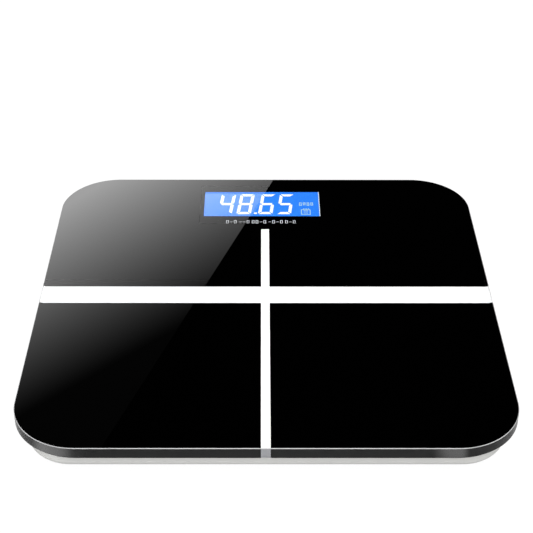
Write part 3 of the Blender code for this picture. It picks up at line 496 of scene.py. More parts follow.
PALE = (0.71, 0.71, 0.69)
MATS = {
    "glass": clear_glass(),
    "glass_black": glass_over_black(),
    "glass_edge_shaded": shaded_edge_glass(),
    "glass_ground": ground_glass(),
    "black_ink": ink("ink_black", (0.0, 0.0, 0.0)),
    "white_ink": ink("ink_white", (0.80, 0.80, 0.80)),
    "mark_ink": ink("ink_marks", (0.55, 0.56, 0.58)),
    "lcd": display_blue(),
    "segment": glowing("lcd_segment", (0.98, 1.0, 0.93), 1.35),
    "icon": glowing("lcd_icon", (0.44, 0.74, 0.86), 1.0),
    "leak": glowing("lcd_edge_light", (0.80, 0.92, 1.0), 1.1),
    "tray": moulded("tray_pale", PALE, 0.46, vary=0.015),
    "door": moulded("door_pale", shaded(PALE, 0.99), 0.46, vary=0.015),
    "foam": moulded("foam_black", (0.02, 0.02, 0.021), 0.95, grain=0.5 * MM, height=0.08 * MM),
    "black": moulded("plastic_black", (0.028, 0.028, 0.030), 0.42),
    "button": moulded("button_grey", (0.10, 0.10, 0.105), 0.45),
    "rubber": moulded("rubber_grey", (0.085, 0.085, 0.088), 0.85, grain=0.6 * MM, height=0.03 * MM),
    "spring_steel": moulded("steel_sprung", (0.60, 0.60, 0.62), 0.28, metallic=1.0, vary=0.06,
                            patch=2 * MM, stretch=(6, 1, 1)),
    "zinc": moulded("steel_zinc", (0.50, 0.51, 0.53), 0.34, metallic=1.0, vary=0.10, patch=2 * MM),
    "acrylic": moulded("acrylic_white", (0.85, 0.88, 0.92), 0.25),
    "board": circuit_board(),
    "chip": moulded("epoxy_black", (0.018, 0.018, 0.02), 0.5),
    "zebra": striped("zebra_layers", (0.70, 0.48, 0.50), (0.06, 0.05, 0.05), 1.0 * MM, "X", 0.6),
    "grey_lead": moulded("pvc_grey", (0.16, 0.16, 0.17), 0.4),
    "red_lead": moulded("pvc_red", (0.50, 0.015, 0.012), 0.4),
    "black_lead": moulded("pvc_black", (0.015, 0.015, 0.016), 0.4),
    "sleeve": moulded("sleeve_dark", (0.02, 0.05, 0.04), 0.25),
    "sleeve_band": moulded("sleeve_band", (0.55, 0.36, 0.10), 0.28, metallic=0.8),
    "nickel": moulded("nickel_bright", (0.66, 0.64, 0.60), 0.22, metallic=1.0, patch=2 * MM),
}


def keep(piece, body, nodes):
    """Rides a new piece on its body, in place of these CAD nodes."""
    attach(piece, body)
    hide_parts(*nodes)
    return piece


# ---- platform
def plate_outline(inset):
    """The plate's outline, with a point wherever the printed cross meets its edge."""
    half = GLASS_HALF - inset
    points = rounded_outline(half, half, GLASS_CORNER - inset, ARC_STEPS)
    side = ARC_STEPS + 1
    return (points[:2 * side] + [(-half, BAR_REAR), (-half, BAR_FRONT)]
            + points[2 * side:3 * side] + [(STEM_LEFT, -half), (STEM_RIGHT, -half)]
            + points[3 * side:] + [(half, BAR_FRONT), (half, BAR_REAR)])


def cut_across(bm, slot, place, direction):
    faces = [f for f in bm.faces if f.material_index == slot]
    edges = {e for f in faces for e in f.edges}
    verts = {v for f in faces for v in f.verts}
    bmesh.ops.bisect_plane(bm, geom=[*faces, *edges, *verts], plane_co=place, plane_no=direction)


def glass_plate():
    """The plate with its ground arrises.

    Past the clear margins, where nearly all that shows through its top is black ink, the top is one
    material with that ink, which reflects the same and has no grain. The lower arris takes the
    print's colour."""
    low, high = GLASS_LOW.z, GLASS_HIGH.z
    rings = [(LOWER_ARRIS, low), (0, low + LOWER_ARRIS), (0, high - ARRIS), (ARRIS, high)]
    names = ("glass", "glass_edge_shaded", "glass_ground", "black_ink", "white_ink", "glass_black")
    clear, edge, ground, black, white, deep = range(len(names))
    bm = loft_mesh([(plate_outline(inset), z) for inset, z in rings],
                   [clear, black, edge, ground, deep])
    for face in bm.faces:
        at = face.calc_center_median()
        on_stem = STEM_LEFT < at.x < STEM_RIGHT and at.y < 0
        on_cross = BAR_FRONT < at.y < BAR_REAR or on_stem
        if face.material_index == black and on_cross:
            face.material_index = white
    left, right = WINDOW[0] - SEE_PAST, WINDOW[1] + SEE_PAST
    front, rear = MARKS_FRONT - SEE_IN, WINDOW[3] + SEE_PAST
    for x in (left, STEM_LEFT - SEE_IN, STEM_RIGHT + SEE_IN, right):
        cut_across(bm, deep, (x, 0, 0), (1, 0, 0))
    for y in (BAR_FRONT - SEE_IN, BAR_REAR + SEE_PAST, front, rear):
        cut_across(bm, deep, (0, y, 0), (0, 1, 0))
    for face in bm.faces:
        at = face.calc_center_median()
        near_stem = STEM_LEFT - SEE_IN < at.x < STEM_RIGHT + SEE_IN and at.y < front
        near_bar = BAR_FRONT - SEE_IN < at.y < BAR_REAR + SEE_PAST
        near_window = left < at.x < right and front < at.y < rear
        if face.material_index == deep and (near_stem or near_bar or near_window):
            face.material_index = clear
    piece = smooth(to_object("glass_plate", bm, *(MATS[name] for name in names)))
    return keep(piece, "scale", ["glass_platform"])


def ink_sheet(name, material, top):
    half = GLASS_HALF - INK_INSET
    outline = rounded_outline(half, half, GLASS_CORNER - INK_INSET, ARC_STEPS)
    return loft(name, [(outline, GLASS_LOW.z - INK_DEPTH), (outline, top)], material)


def ink_cut(x0, x1, y0, y1, corner=0.0):
    x0, x1 = sorted((x0, x1))
    return box(x0, x1, y0, y1, GLASS_LOW.z - MM, GLASS_LOW.z + MM, corner)


def printed_ink():
    """Black fields bonded under the glass, and the white cross, which laps behind them."""
    black_top = GLASS_LOW.z + INK_BITE
    reach = GLASS_HALF + MM
    rear = carve(ink_sheet("ink_black_rear", MATS["black_ink"], black_top), [
        ink_cut(-reach, reach, -reach, BAR_REAR),
        ink_cut(STEM_LEFT, STEM_RIGHT, 0, STEM_REAR),
        ink_cut(*WINDOW, corner=WINDOW_CORNER),
    ], "DIFFERENCE")
    keep(rear, "scale", ["print_black_rear"])
    for stem_side, side, name in ((STEM_LEFT, -1, "left"), (STEM_RIGHT, 1, "right")):
        front = carve(ink_sheet(f"ink_black_front_{name}", MATS["black_ink"], black_top), [
            ink_cut(-reach, reach, BAR_FRONT, reach),
            ink_cut(stem_side, -side * reach, -reach, 0),
        ], "DIFFERENCE")
        keep(front, "scale", [f"print_black_front_{name}"])
    cross = carve(ink_sheet("ink_white_cross", MATS["white_ink"], black_top - CROSS_DROP), [
        ink_cut(stem_side + side * CROSS_LAP, side * reach, y0, y1)
        for stem_side, side in ((STEM_LEFT, -1), (STEM_RIGHT, 1))
        for y0, y1 in ((-reach, BAR_FRONT - CROSS_LAP), (BAR_REAR + CROSS_LAP, reach))
    ] + [ink_cut(2 * STEM_LEFT, 2 * STEM_RIGHT, STEM_REAR + CROSS_LAP, reach)], "DIFFERENCE")
    keep(cross, "scale", ["print_white_cross"])


# The fine row of marks below the display
MARKS_LEFT = -25 * MM
MARK_WIDTH, MARK_HEIGHT, MARK_LINE = mm(1.6, 3.6, 0.34)
MARK_PITCH, MARK_GROUP_GAP = mm(2.45, 0.75)
MARK_THICK, MARK_PROUD = mm(0.05, 0.03)
DASH_RISE = 1.6 * MM
MARK_GROUPS = ("box", "dash", "box box", "dash box", "box")


def graduation():
    """A fine row of plain dashes and hollow boxes below the display, in groups."""
    top = GLASS_LOW.z + INK_BITE + MARK_PROUD
    front, dash = MARKS_FRONT, MARKS_FRONT + DASH_RISE
    strokes = []
    x = MARKS_LEFT
    for group in MARK_GROUPS:
        for mark in (group + " dash box").split():
            if mark == "box":
                strokes += frame_of(x, x + MARK_WIDTH, front, front + MARK_HEIGHT, MARK_LINE)
            else:
                strokes.append((x, x + MARK_WIDTH, dash, dash + MARK_LINE))
            x += MARK_PITCH
        x += MARK_GROUP_GAP
    parts = [box(*stroke, top - MARK_THICK, top) for stroke in strokes]
    piece = merge("graduation_marks", parts, MATS["mark_ink"])
    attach(piece, "scale")


# ---- display
DIGIT_WIDTH, DIGIT_HEIGHT, DIGIT_FOOT = mm(9.2, 24.0, 92.6)
SLANT = math.tan(math.radians(6))
STROKE_X, STROKE_Y, SEGMENT_GAP = mm(2.5, 2.4, 0.52)
READING = ((-31.0 * MM, "bcfg"), (-18.8 * MM, "abcdefg"), (-5.0 * MM, "acdefg"),
           (6.9 * MM, "acdfg"))
POINT_AT = mm(-7.6, 92.7)
POINT_SIZE = mm(1.9, 1.7)
LIT_LOW, LIT_HIGH = LCD_HIGH.z + 0.02 * MM, LCD_HIGH.z + 0.08 * MM
LCD_CORNER, LCD_EDGE = mm(0.5, 0.12)

# Right of the reading: a row of hollow boxes, and a square symbol with pins on top and rungs inside
UNIT_LINE = 0.6 * MM
UNIT_AT, UNIT_SIZE = mm(21.6, 102.6), mm(1.7, 4.0)
UNIT_PITCH = 2.45 * MM
UNIT_LIFTS = (0.0, 0.8 * MM, 0.0, 0.4 * MM)
SYMBOL_AT, SYMBOL_SIZE = mm(22.6, 91.8), mm(6.2, 6.3)
PIN_PITCH, PIN_WIDTH, PIN_LENGTH = mm(1.5, 0.7, 1.3)
RUNG_PITCH, RUNG_LINE, RUNG_INSET = mm(1.6, 0.5, 1.6)

# The strip of light that leaks past the display's right edge
LEAK_LEFT, LEAK_RIGHT = WINDOW[1] - 0.45 * MM, WINDOW[1] + 0.6 * MM
LEAK_HIGH = LCD_HIGH.z + 0.12 * MM
LEAK_CORNER, LEAK_EDGE = mm(0.1, 0.02)


def segment_outline(letter):
    """One segment of a digit, as points in a box DIGIT_WIDTH wide and DIGIT_HEIGHT tall."""
    w, h, sx, sy, g = DIGIT_WIDTH, DIGIT_HEIGHT, STROKE_X, STROKE_Y, SEGMENT_GAP
    mid = h / 2
    if letter == "a":
        return [(g, h), (w - g, h), (w - sx, h - sy), (sx, h - sy)]
    if letter == "d":
        return [(g, 0), (sx, sy), (w - sx, sy), (w - g, 0)]
    if letter == "g":
        return [(g * 2, mid), (sx * 0.7, mid + sy / 2), (w - sx * 0.7, mid + sy / 2),
                (w - g * 2, mid), (w - sx * 0.7, mid - sy / 2), (sx * 0.7, mid - sy / 2)]
    upright = [(0, h - 1.5 * g), (sx - g, h - sy - 0.7 * g), (sx - g, mid + sy / 2 + g),
               (g * 1.5, mid + g), (0, mid + 2.5 * g)]
    if letter in "bc":
        upright = [(w - x, y) for x, y in upright]
    if letter in "ce":
        upright = [(x, h - y) for x, y in upright]
    return upright


def flat_shape(points, z0, z1):
    if sum(a[0] * b[1] - b[0] * a[1] for a, b in zip(points, points[1:] + points[:1])) < 0:
        points = points[::-1]
    return loft("helper", [(points, z0), (points, z1)])


def leaning(points, x, y):
    return [(x + px + py * SLANT, y + py) for px, py in points]


def reading():
    """Four digits and a decimal point, each segment a thin solid on the display."""
    shapes = [leaning(segment_outline(letter), x, DIGIT_FOOT)
              for x, letters in READING for letter in letters]
    wide, tall = POINT_SIZE
    shapes.append(leaning([(0, 0), (wide, 0), (wide, tall), (0, tall)], *POINT_AT))
    parts = [flat_shape(shape, LIT_LOW, LIT_HIGH) for shape in shapes]
    piece = merge("lcd_reading", parts, MATS["segment"])
    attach(piece, "scale")


def unit_marks():
    (x, y), (wide, tall) = UNIT_AT, UNIT_SIZE
    strokes = []
    for k, lift in enumerate(UNIT_LIFTS):
        left = x + k * UNIT_PITCH
        strokes += frame_of(left, left + wide, y + lift, y + tall, UNIT_LINE)
    (x, y), (wide, tall) = SYMBOL_AT, SYMBOL_SIZE
    strokes += frame_of(x, x + wide, y, y + tall, UNIT_LINE)
    for k in (1, 2, 3):
        left = x + k * PIN_PITCH
        strokes.append((left, left + PIN_WIDTH, y + tall, y + tall + PIN_LENGTH))
    for k in (1, 2, 3):
        rung = y + k * RUNG_PITCH
        strokes.append((x + RUNG_INSET, x + wide - RUNG_INSET, rung, rung + RUNG_LINE))
    parts = [box(*stroke, LIT_LOW, LIT_HIGH) for stroke in strokes]
    piece = merge("lcd_symbols", parts, MATS["icon"])
    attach(piece, "scale")


def display():
    piece = slab("lcd_cell", LCD_LOW.x, LCD_HIGH.x, LCD_LOW.y, LCD_HIGH.y, LCD_LOW.z, LCD_HIGH.z,
                 LCD_CORNER, LCD_EDGE, MATS["lcd"])
    keep(piece, "scale", ["lcd_panel"])
    reading()
    unit_marks()
    leak = slab("lcd_edge_light", LEAK_LEFT, LEAK_RIGHT, WINDOW[2] - MM, WINDOW[3] + MM, LIT_LOW,
                LEAK_HIGH, LEAK_CORNER, LEAK_EDGE, MATS["leak"])
    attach(leak, "scale")


# ---- tray
RIM_ROUND = 0.5 * MM
RIB = 1.6 * MM
RIB_X, RIB_REAR = mm(50, 70)
RIB_TOP, SIDE_RIB_TOP, CROSS_RIB_TOP = mm(13, 12.6, 12.8)
SIDE_RIB_START = 62 * MM
RIB_BITE = 0.2 * MM
SEAT_BOTTOM = 8.9 * MM
COLLAR_TOP, EAR_TOP = SEAT_BOTTOM - 0.3 * MM, SEAT_BOTTOM - 0.4 * MM
COLLAR_OUTER, COLLAR_INNER = mm(24.8, 23.2)
OPENING_RADIUS = 21 * MM
EAR_X, EAR_RADIUS = mm(28.5, 3.9)
HOLE_RADIUS, SINK_RADIUS, SINK_DEPTH = mm(1.5, 3.0, 1.6)
POSTS = (mm(-46, 86), mm(42, 117), mm(42, 86), mm(-46, 117))
SCREWED_POSTS = POSTS[:2]
POST_TOP, POST_RADIUS = mm(8.7, 2.6)
POST_HOLE_BOTTOM, POST_HOLE_RADIUS = mm(6.6, 1.25)
BUTTON_HOLE, BUTTON_DISH, BUTTON_DISH_DEPTH = mm(4.3, 7.5, 0.6)
LOWEST = POD_BOTTOM - MM

# Battery bay, in a pod under the floor, and the slots its contacts' tails pass through
BAY_Y = 40 * MM
POD_HALF_X, POD_FRONT, POD_REAR, POD_CORNER = 33 * MM, BAY_Y - 18 * MM, BAY_Y + 20 * MM, 4 * MM
BAY_OUTER, BAY_BOTTOM, BAY_TOP = mm(27, 12.9), TRAY_BOTTOM + 0.5 * MM, 15 * MM
BAY_INNER, BAY_CEILING, BAY_CORNER = mm(25.5, 11.4), 14.5 * MM, 0.8 * MM
TAILS_Y = mm(-5.6, 5.6)
TAIL_SLOT = mm(-28, -24.5, 11.2, 12.4)
SCOOP_Y, SCOOP_RADIUS, SCOOP_DEPTH = mm(59.2, 7.5, 1.0)

# Door over the bay. The spans of its hooks and latch, and of what they sit in, are in y and z
DOOR_FRONT, DOOR_REAR = BAY_Y - 14.2 * MM, BAY_Y + 14.2 * MM
DOOR_THICK, DOOR_GAP, RECESS_DEPTH, RECESS_CORNER = mm(1.5, 0.3, 1.6, 2.3)
DOOR_CORNER, DOOR_EDGE, DOOR_ROOT = mm(2, 0.3, 0.5)
HOOKS_X = mm(-18, 18)
HOOK_RISER, HOOK_TOP, RISER_HALF = mm(25.9, 27.2), 4.6 * MM, 3 * MM
HOOK_LIP, LIP_HALF = mm(24.3, 26.5, 3.8, 4.5), 2.9 * MM
HOOK_SLOT, HOOK_SLOT_HALF = mm(23.9, 29.2, 3.4, 5.2), 4 * MM
LATCH_TONGUE, LATCH_TOP, TONGUE_HALF = mm(53.2, 54.1), 7.0 * MM, 5.5 * MM
LATCH_HOOK, LATCH_HALF = mm(53.6, 55.2, 6.0, 6.8), 5.4 * MM
LATCH_POCKET, POCKET_HALF = mm(52.95, 56.8, 3.3, 7.5), 8 * MM
GRIP_COUNT, GRIP_START, GRIP_PITCH = 5, 5.5 * MM, 1.6 * MM
GRIP_HALF, GRIP_WIDTH, GRIP_DEPTH, GRIP_CORNER = mm(7, 0.7, 0.4, 0.3)


def tray_shell():
    """Outer skin with a rounded lower edge, an eased rim, and the inner skin inside it."""
    rim, inner_round = RIM_ROUND, TRAY_ROUND - TRAY_WALL
    rings = [(inset, TRAY_BOTTOM + drop) for inset, drop in fillet(TRAY_ROUND, TRAY_ROUND, 12)]
    rings += [(inset, TRAY_HIGH.z - drop) for inset, drop in reversed(fillet(rim, rim, 3))]
    rings += [(TRAY_WALL, TRAY_HIGH.z)]
    rings += [(TRAY_WALL + inset, TRAY_FLOOR + drop)
              for inset, drop in reversed(fillet(inner_round, inner_round, 5))]
    shaped = [(rounded_outline(TRAY_HALF - inset, TRAY_HALF - inset, TRAY_CORNER - inset, 32), z)
              for inset, z in rings]
    return loft("tray", shaped, MATS["tray"])


def foot_centres():
    return [(sx * FOOT_X, sy * FOOT_X) for sx, sy in CORNERS.values()]


def tray_additions():
    """Ribs, the collars and ears round the feet, the pod, the bay's walls and the board's posts."""
    root = TRAY_BOTTOM + MM
    reach = TRAY_HALF - TRAY_WALL + RIB_BITE
    for side in (-1, 1):
        x = side * RIB_X
        yield box(x - RIB / 2, x + RIB / 2, -reach, RIB_REAR, root, RIB_TOP)
        x0, x1 = sorted((side * SIDE_RIB_START, side * reach))
        for y in (-45 * MM, 0, 45 * MM):
            yield box(x0, x1, y - RIB / 2, y + RIB / 2, root, SIDE_RIB_TOP)
    for y in (-80 * MM, -40 * MM, 0):
        yield box(-RIB_X, RIB_X, y - RIB / 2, y + RIB / 2, root, CROSS_RIB_TOP)
    for x, y in foot_centres():
        yield rod(x, y, root, COLLAR_TOP, COLLAR_OUTER)
        for end in (-1, 1):
            yield rod(x + end * EAR_X, y, root, EAR_TOP, EAR_RADIUS, 32)
    yield box(-POD_HALF_X, POD_HALF_X, POD_FRONT, POD_REAR, POD_BOTTOM, root, POD_CORNER)
    x, y = BAY_OUTER
    yield box(-x, x, BAY_Y - y, BAY_Y + y, BAY_BOTTOM, BAY_TOP)
    for x, y in POSTS:
        yield rod(x, y, root, POST_TOP, POST_RADIUS, 24)


def tray_cuts():
    """Openings for the feet, screws, bay, door, contacts and button."""
    for x, y in foot_centres():
        yield rod(x, y, TRAY_FLOOR, SEAT_BOTTOM + MM, COLLAR_INNER)
        yield rod(x, y, LOWEST, TRAY_FLOOR + MM, OPENING_RADIUS, 96)
        for end in (-1, 1):
            ear = x + end * EAR_X
            yield rod(ear, y, LOWEST, SEAT_BOTTOM + MM, HOLE_RADIUS, 24)
            yield rod(ear, y, LOWEST, TRAY_BOTTOM + SINK_DEPTH, SINK_RADIUS, 40)
    x, y = BAY_INNER
    yield box(-x, x, BAY_Y - y, BAY_Y + y, LOWEST, BAY_CEILING, BAY_CORNER, 4)
    yield box(DOOR_LOW.x - DOOR_GAP, DOOR_HIGH.x + DOOR_GAP, DOOR_FRONT - DOOR_GAP,
              DOOR_REAR + DOOR_GAP, LOWEST, POD_BOTTOM + RECESS_DEPTH, RECESS_CORNER)
    for x in HOOKS_X:
        yield box(x - HOOK_SLOT_HALF, x + HOOK_SLOT_HALF, *HOOK_SLOT)
    yield box(-POCKET_HALF, POCKET_HALF, *LATCH_POCKET)
    yield rod(0, SCOOP_Y, LOWEST, POD_BOTTOM + SCOOP_DEPTH, SCOOP_RADIUS)
    x0, x1, low, high = TAIL_SLOT
    for y in TAILS_Y:
        yield box(x0, x1, BAY_Y + y - MM, BAY_Y + y + MM, low, high)
    for x, y in SCREWED_POSTS:
        yield rod(x, y, POST_HOLE_BOTTOM, POST_TOP + MM, POST_HOLE_RADIUS, 24)
    x, y = BUTTON_AT.x, BUTTON_AT.y
    yield rod(x, y, LOWEST, TRAY_FLOOR + MM, BUTTON_HOLE)
    yield rod(x, y, LOWEST, TRAY_BOTTOM + BUTTON_DISH_DEPTH, BUTTON_DISH)


def tray():
    piece = tray_shell()
    carve(piece, [*tray_additions()], "UNION")
    carve(piece, [*tray_cuts()], "DIFFERENCE")
    weigh(piece)
    keep(piece, "scale", ["base_tray"])


# ---- feet
# The cup, with a peg that presses the load cell, a flange that holds it and a seat for the pad
PEG_RADIUS, PEG_TOP = mm(4, 9.4)
CUP_INNER, CUP_FLOOR = mm(18.8, 5.2)
FLANGE_RADIUS, FLANGE_BOTTOM, FLANGE_TOP = mm(22.4, 7.1, 8.1)
CUP_RADIUS, CUP_BOTTOM = mm(20.4, 2.4)
PAD_SEAT_RADIUS, PAD_SEAT = mm(18.5, 3.4)
PAD_RADIUS, PAD_TOP, PAD_CHAMFER = mm(18.2, 3.2, 0.8)
TREAD_OUTER, TREAD_INNER, TREAD_PITCH = mm(16.2, 3, 3.0)
GROOVE_WIDTH, GROOVE_SLOPE, GROOVE_DEPTH = mm(1.2, 0.3, 0.45)


def pad_profile():
    """The pad from its top round to the grooves in its tread."""
    profile = [(0, PAD_TOP), (PAD_RADIUS, PAD_TOP), (PAD_RADIUS, PAD_CHAMFER),
               (PAD_RADIUS - PAD_CHAMFER, 0)]
    outer = TREAD_OUTER
    while outer > TREAD_INNER:
        inner = outer - GROOVE_WIDTH
        profile += [(outer, 0), (outer - GROOVE_SLOPE, GROOVE_DEPTH),
                    (inner + GROOVE_SLOPE, GROOVE_DEPTH), (inner, 0)]
        outer -= TREAD_PITCH
    return [*profile, (0, 0)]


def feet():
    cup = eased([
        (0, PEG_TOP), (PEG_RADIUS, PEG_TOP), (PEG_RADIUS, CUP_FLOOR), (CUP_INNER, CUP_FLOOR),
        (CUP_INNER, FLANGE_TOP), (FLANGE_RADIUS, FLANGE_TOP), (FLANGE_RADIUS, FLANGE_BOTTOM),
        (CUP_RADIUS, FLANGE_BOTTOM), (CUP_RADIUS, CUP_BOTTOM), (PAD_SEAT_RADIUS, CUP_BOTTOM),
        (PAD_SEAT_RADIUS, PAD_SEAT), (0, PAD_SEAT),
    ], 0.3 * MM)
    tread = eased(pad_profile(), 0.15 * MM, 2)
    for name, (x, y) in zip(CORNERS, foot_centres()):
        body, centre = f"foot_{name}", (x, y, 0)
        shell = lathe(f"foot_cup_{name}", cup, None, MATS["black"], sides=96, centre=centre)
        keep(shell, body, [f"foot_shell_{name}"])
        pad = lathe(f"foot_rubber_{name}", tread, None, MATS["rubber"], sides=96, centre=centre)
        keep(pad, body, [f"foot_pad_{name}"])


# Screws: radii, the heights of the head and of its chamfer, and the cross cut into it
SCREW_TIP, SCREW_SHANK, SCREW_FACE, SCREW_HEAD = mm(0.6, 1.1, 1.9, 2.6)
HEAD_HEIGHT, HEAD_EDGE = mm(1.2, 0.5)
CROSS_LONG, CROSS_THIN, CROSS_DEPTH = mm(1.3, 0.22, 0.7)


def tray_screws():
    """Cross-headed screws, seen from below in their sinks."""
    for name in CORNERS:
        for label in "ab":
            node = f"tray_screw_{name}_{label}"
            low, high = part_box(node)
            x, y = (low.x + high.x) / 2, (low.y + high.y) / 2
            screw = lathe(f"screw_{name}_{label}", eased([
                (0, high.z), (SCREW_TIP, high.z), (SCREW_SHANK, high.z - MM),
                (SCREW_SHANK, low.z + HEAD_HEIGHT), (SCREW_HEAD, low.z + HEAD_HEIGHT),
                (SCREW_HEAD, low.z + HEAD_EDGE), (SCREW_FACE, low.z), (0, low.z),
            ], 0.15 * MM, 2), None, MATS["zinc"], sides=40, centre=(x, y, 0))
            carve(screw, [
                box(x - half_x, x + half_x, y - half_y, y + half_y, low.z - MM, low.z + depth)
                for half_x, half_y, depth in (
                    (CROSS_LONG, CROSS_THIN, CROSS_DEPTH),
                    (CROSS_THIN, CROSS_LONG, CROSS_DEPTH + 0.05 * MM))
            ], "DIFFERENCE")
            smooth(screw)
            keep(screw, "scale", [node])


# Button: a cap on a flange, with a nub on top that meets the switch
CAP_RADIUS, CAP_FLANGE, CAP_NUB = mm(4, 5.2, 1.4)
NUB_HEIGHT, FLANGE_LOW = mm(0.1, 0.6)
CAP_FACE, CAP_EDGE = mm(3.6, 0.3)
DISH_SHARE, DISH_DEPTH, DISH_STEPS = 0.8, 0.25 * MM, 6


def unit_button():
    """The button's face is slightly dished, with a soft edge."""
    x, y = BUTTON_AT.x, BUTTON_AT.y
    low, high = BUTTON_LOW.z, BUTTON_HIGH.z
    dish = [(CAP_RADIUS * k / DISH_STEPS * DISH_SHARE,
             low + DISH_DEPTH * (1 - (k / DISH_STEPS) ** 2)) for k in range(DISH_STEPS, -1, -1)]
    profile = eased([
        (0, high), (CAP_NUB, high), (CAP_NUB, high - NUB_HEIGHT), (CAP_FLANGE, high - NUB_HEIGHT),
        (CAP_FLANGE, high - FLANGE_LOW), (CAP_RADIUS, high - FLANGE_LOW),
        (CAP_RADIUS, low + CAP_EDGE), (CAP_FACE, low), dish[0],
    ], 0.2 * MM) + dish[1:]
    button = lathe("button_cap", profile, None, MATS["button"], sides=64, centre=(x, y, 0))
    keep(button, "button", ["unit_button"])


# ---- power
def battery_door():
    """The door plate with its hooks, its latch and the grip grooves under it."""
    bottom, top = DOOR_LOW.z, DOOR_LOW.z + DOOR_THICK
    root = top - DOOR_ROOT
    door = slab("door", DOOR_LOW.x, DOOR_HIGH.x, DOOR_FRONT, DOOR_REAR, bottom, top, DOOR_CORNER,
                DOOR_EDGE, MATS["door"], steps=10, rounds=4)
    parts = []
    for x in HOOKS_X:
        parts.append(box(x - RISER_HALF, x + RISER_HALF, *HOOK_RISER, root, HOOK_TOP))
        parts.append(box(x - LIP_HALF, x + LIP_HALF, *HOOK_LIP))
    parts.append(box(-TONGUE_HALF, TONGUE_HALF, *LATCH_TONGUE, root, LATCH_TOP))
    parts.append(box(-LATCH_HALF, LATCH_HALF, *LATCH_HOOK))
    carve(door, parts, "UNION")
    grooves = []
    for k in range(GRIP_COUNT):
        y = BAY_Y + GRIP_START + k * GRIP_PITCH
        grooves.append(box(-GRIP_HALF, GRIP_HALF, y, y + GRIP_WIDTH, bottom - MM,
                           bottom + GRIP_DEPTH, GRIP_CORNER, 4))
    carve(door, grooves, "DIFFERENCE")
    weigh(door)
    keep(door, "door", ["battery_door"])


CELL_RADIUS = 5.25 * MM
CELL_HALF, CELL_SHOULDER = mm(22.25, 21.35)
NUB_RADIUS, SHOULDER_RADIUS, BASE_RADIUS = mm(1.9, 4.7, 4.2)
BAND_LENGTH = 9 * MM


def battery_cells():
    """AAA cells with a dark sleeve, a coppery band at the raised end, and bright ends."""
    half, shoulder, radius = CELL_HALF, CELL_SHOULDER, CELL_RADIUS
    outline = [(0, half), (NUB_RADIUS - 0.15 * MM, half), (NUB_RADIUS, half - 0.15 * MM),
               (NUB_RADIUS, shoulder), (SHOULDER_RADIUS - 0.2 * MM, shoulder),
               (SHOULDER_RADIUS, shoulder - 0.1 * MM), (radius, shoulder - 0.5 * MM),
               (radius, shoulder - BAND_LENGTH), (radius, 0.5 * MM - half),
               (radius - 0.3 * MM, 0.15 * MM - half), (BASE_RADIUS + 0.2 * MM, 0.1 * MM - half),
               (BASE_RADIUS, -half), (0, -half)]
    sleeve, band, bright = range(3)
    slots = [bright] * 5 + [band] * 2 + [sleeve] * 3 + [bright] * 2
    for name, facing in (("battery_cell_1", -1), ("battery_cell_2", 1)):
        low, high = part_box(name)
        cell = lathe(f"{name}_body", [(r, facing * z) for r, z in outline], slots, MATS["sleeve"],
                     MATS["sleeve_band"], MATS["nickel"], sides=64, centre=(low + high) / 2,
                     axis="X")
        keep(cell, "scale", [name])


# ---- inside, carried over
WELD_REACH = 0.001 * MM


def carried_over():
    looks = {
        "foam_tape": "foam", "black_plastic": "black", "spring_steel": "spring_steel",
        "screw_steel": "zinc", "white_acrylic": "acrylic", "board_green": "board",
        "chip_black": "chip", "zebra_rubber": "zebra", "lead_grey": "grey_lead",
        "lead_red": "red_lead", "lead_black": "black_lead",
    }
    for part in frame["record"]["subparts"]:
        node = frame["nodes"][part["node"]]
        if node.hide_render or part["material_slot"] not in looks:
            continue
        node.data.materials.clear()
        node.data.materials.append(MATS[looks[part["material_slot"]]])
        if "lead" in part["node"] or "spring" in part["node"]:
            weld = node.modifiers.new("weld", "WELD")
            weld.merge_threshold = WELD_REACH
            node.data.shade_smooth()


# ---- stage
def stage_material(name):
    material = bpy.data.materials.new(name)
    material.use_nodes = True
    tree = material.node_tree
    tree.nodes.clear()
    return material, tree, tree.nodes, tree.links.new


def valued(nodes, kind, socket, value):
    """A shader node with one of its sockets set."""
    node = nodes.new(f"ShaderNode{kind}")
    node.inputs[socket].default_value = value
    return node


FLOOR_HALF = 5.0
FLOOR_SEEN, FLOOR_MIRRORED, FLOOR_BOUNCE, FLOOR_SHADED = 0.97, 0.34, 0.40, 0.05


def floor():
    """A pale floor, open from below. The camera sees it lit evenly, with faint shadows, mirrors see
    it darker, and every other ray gets an even light from it."""
    material, tree, nodes, join = stage_material("floor_pale")
    material.cycles.emission_sampling = "NONE"
    dim, faint = (valued(nodes, "BsdfDiffuse", "Color", (grey, grey, grey, 1))
                  for grey in (FLOOR_MIRRORED, FLOOR_SHADED))
    bounce, even = (valued(nodes, "Emission", "Strength", glow)
                    for glow in (FLOOR_BOUNCE, FLOOR_SEEN))
    clear, lit = nodes.new("ShaderNodeBsdfTransparent"), nodes.new("ShaderNodeAddShader")
    ray, face = nodes.new("ShaderNodeLightPath").outputs, nodes.new("ShaderNodeNewGeometry")
    out = nodes.new("ShaderNodeOutputMaterial")
    join(faint.outputs[0], lit.inputs[0])
    join(even.outputs[0], lit.inputs[1])
    unseen = mixed(tree, ray["Is Glossy Ray"], bounce.outputs[0], dim.outputs[0])
    above = mixed(tree, ray["Is Camera Ray"], unseen, lit.outputs[0])
    join(mixed(tree, face.outputs["Backfacing"], above, clear.outputs[0]), out.inputs["Surface"])
    bm = bmesh.new()
    bmesh.ops.create_grid(bm, x_segments=1, y_segments=1, size=FLOOR_HALF)
    to_object("floor", bm, material)


# Small glowing cards near the floor, seen only as soft patches in the plate's front edge, each
# with its x, y, radius and glow. The glow is even over a card's core and fades out from there
EDGE_CARDS = ((-0.124, -0.143, 0.030, 2.6), (0.099, -0.152, 0.014, 2.4))
EDGE_CARD_HEIGHT = 1 * MM
EDGE_CARD_CORE = 0.25


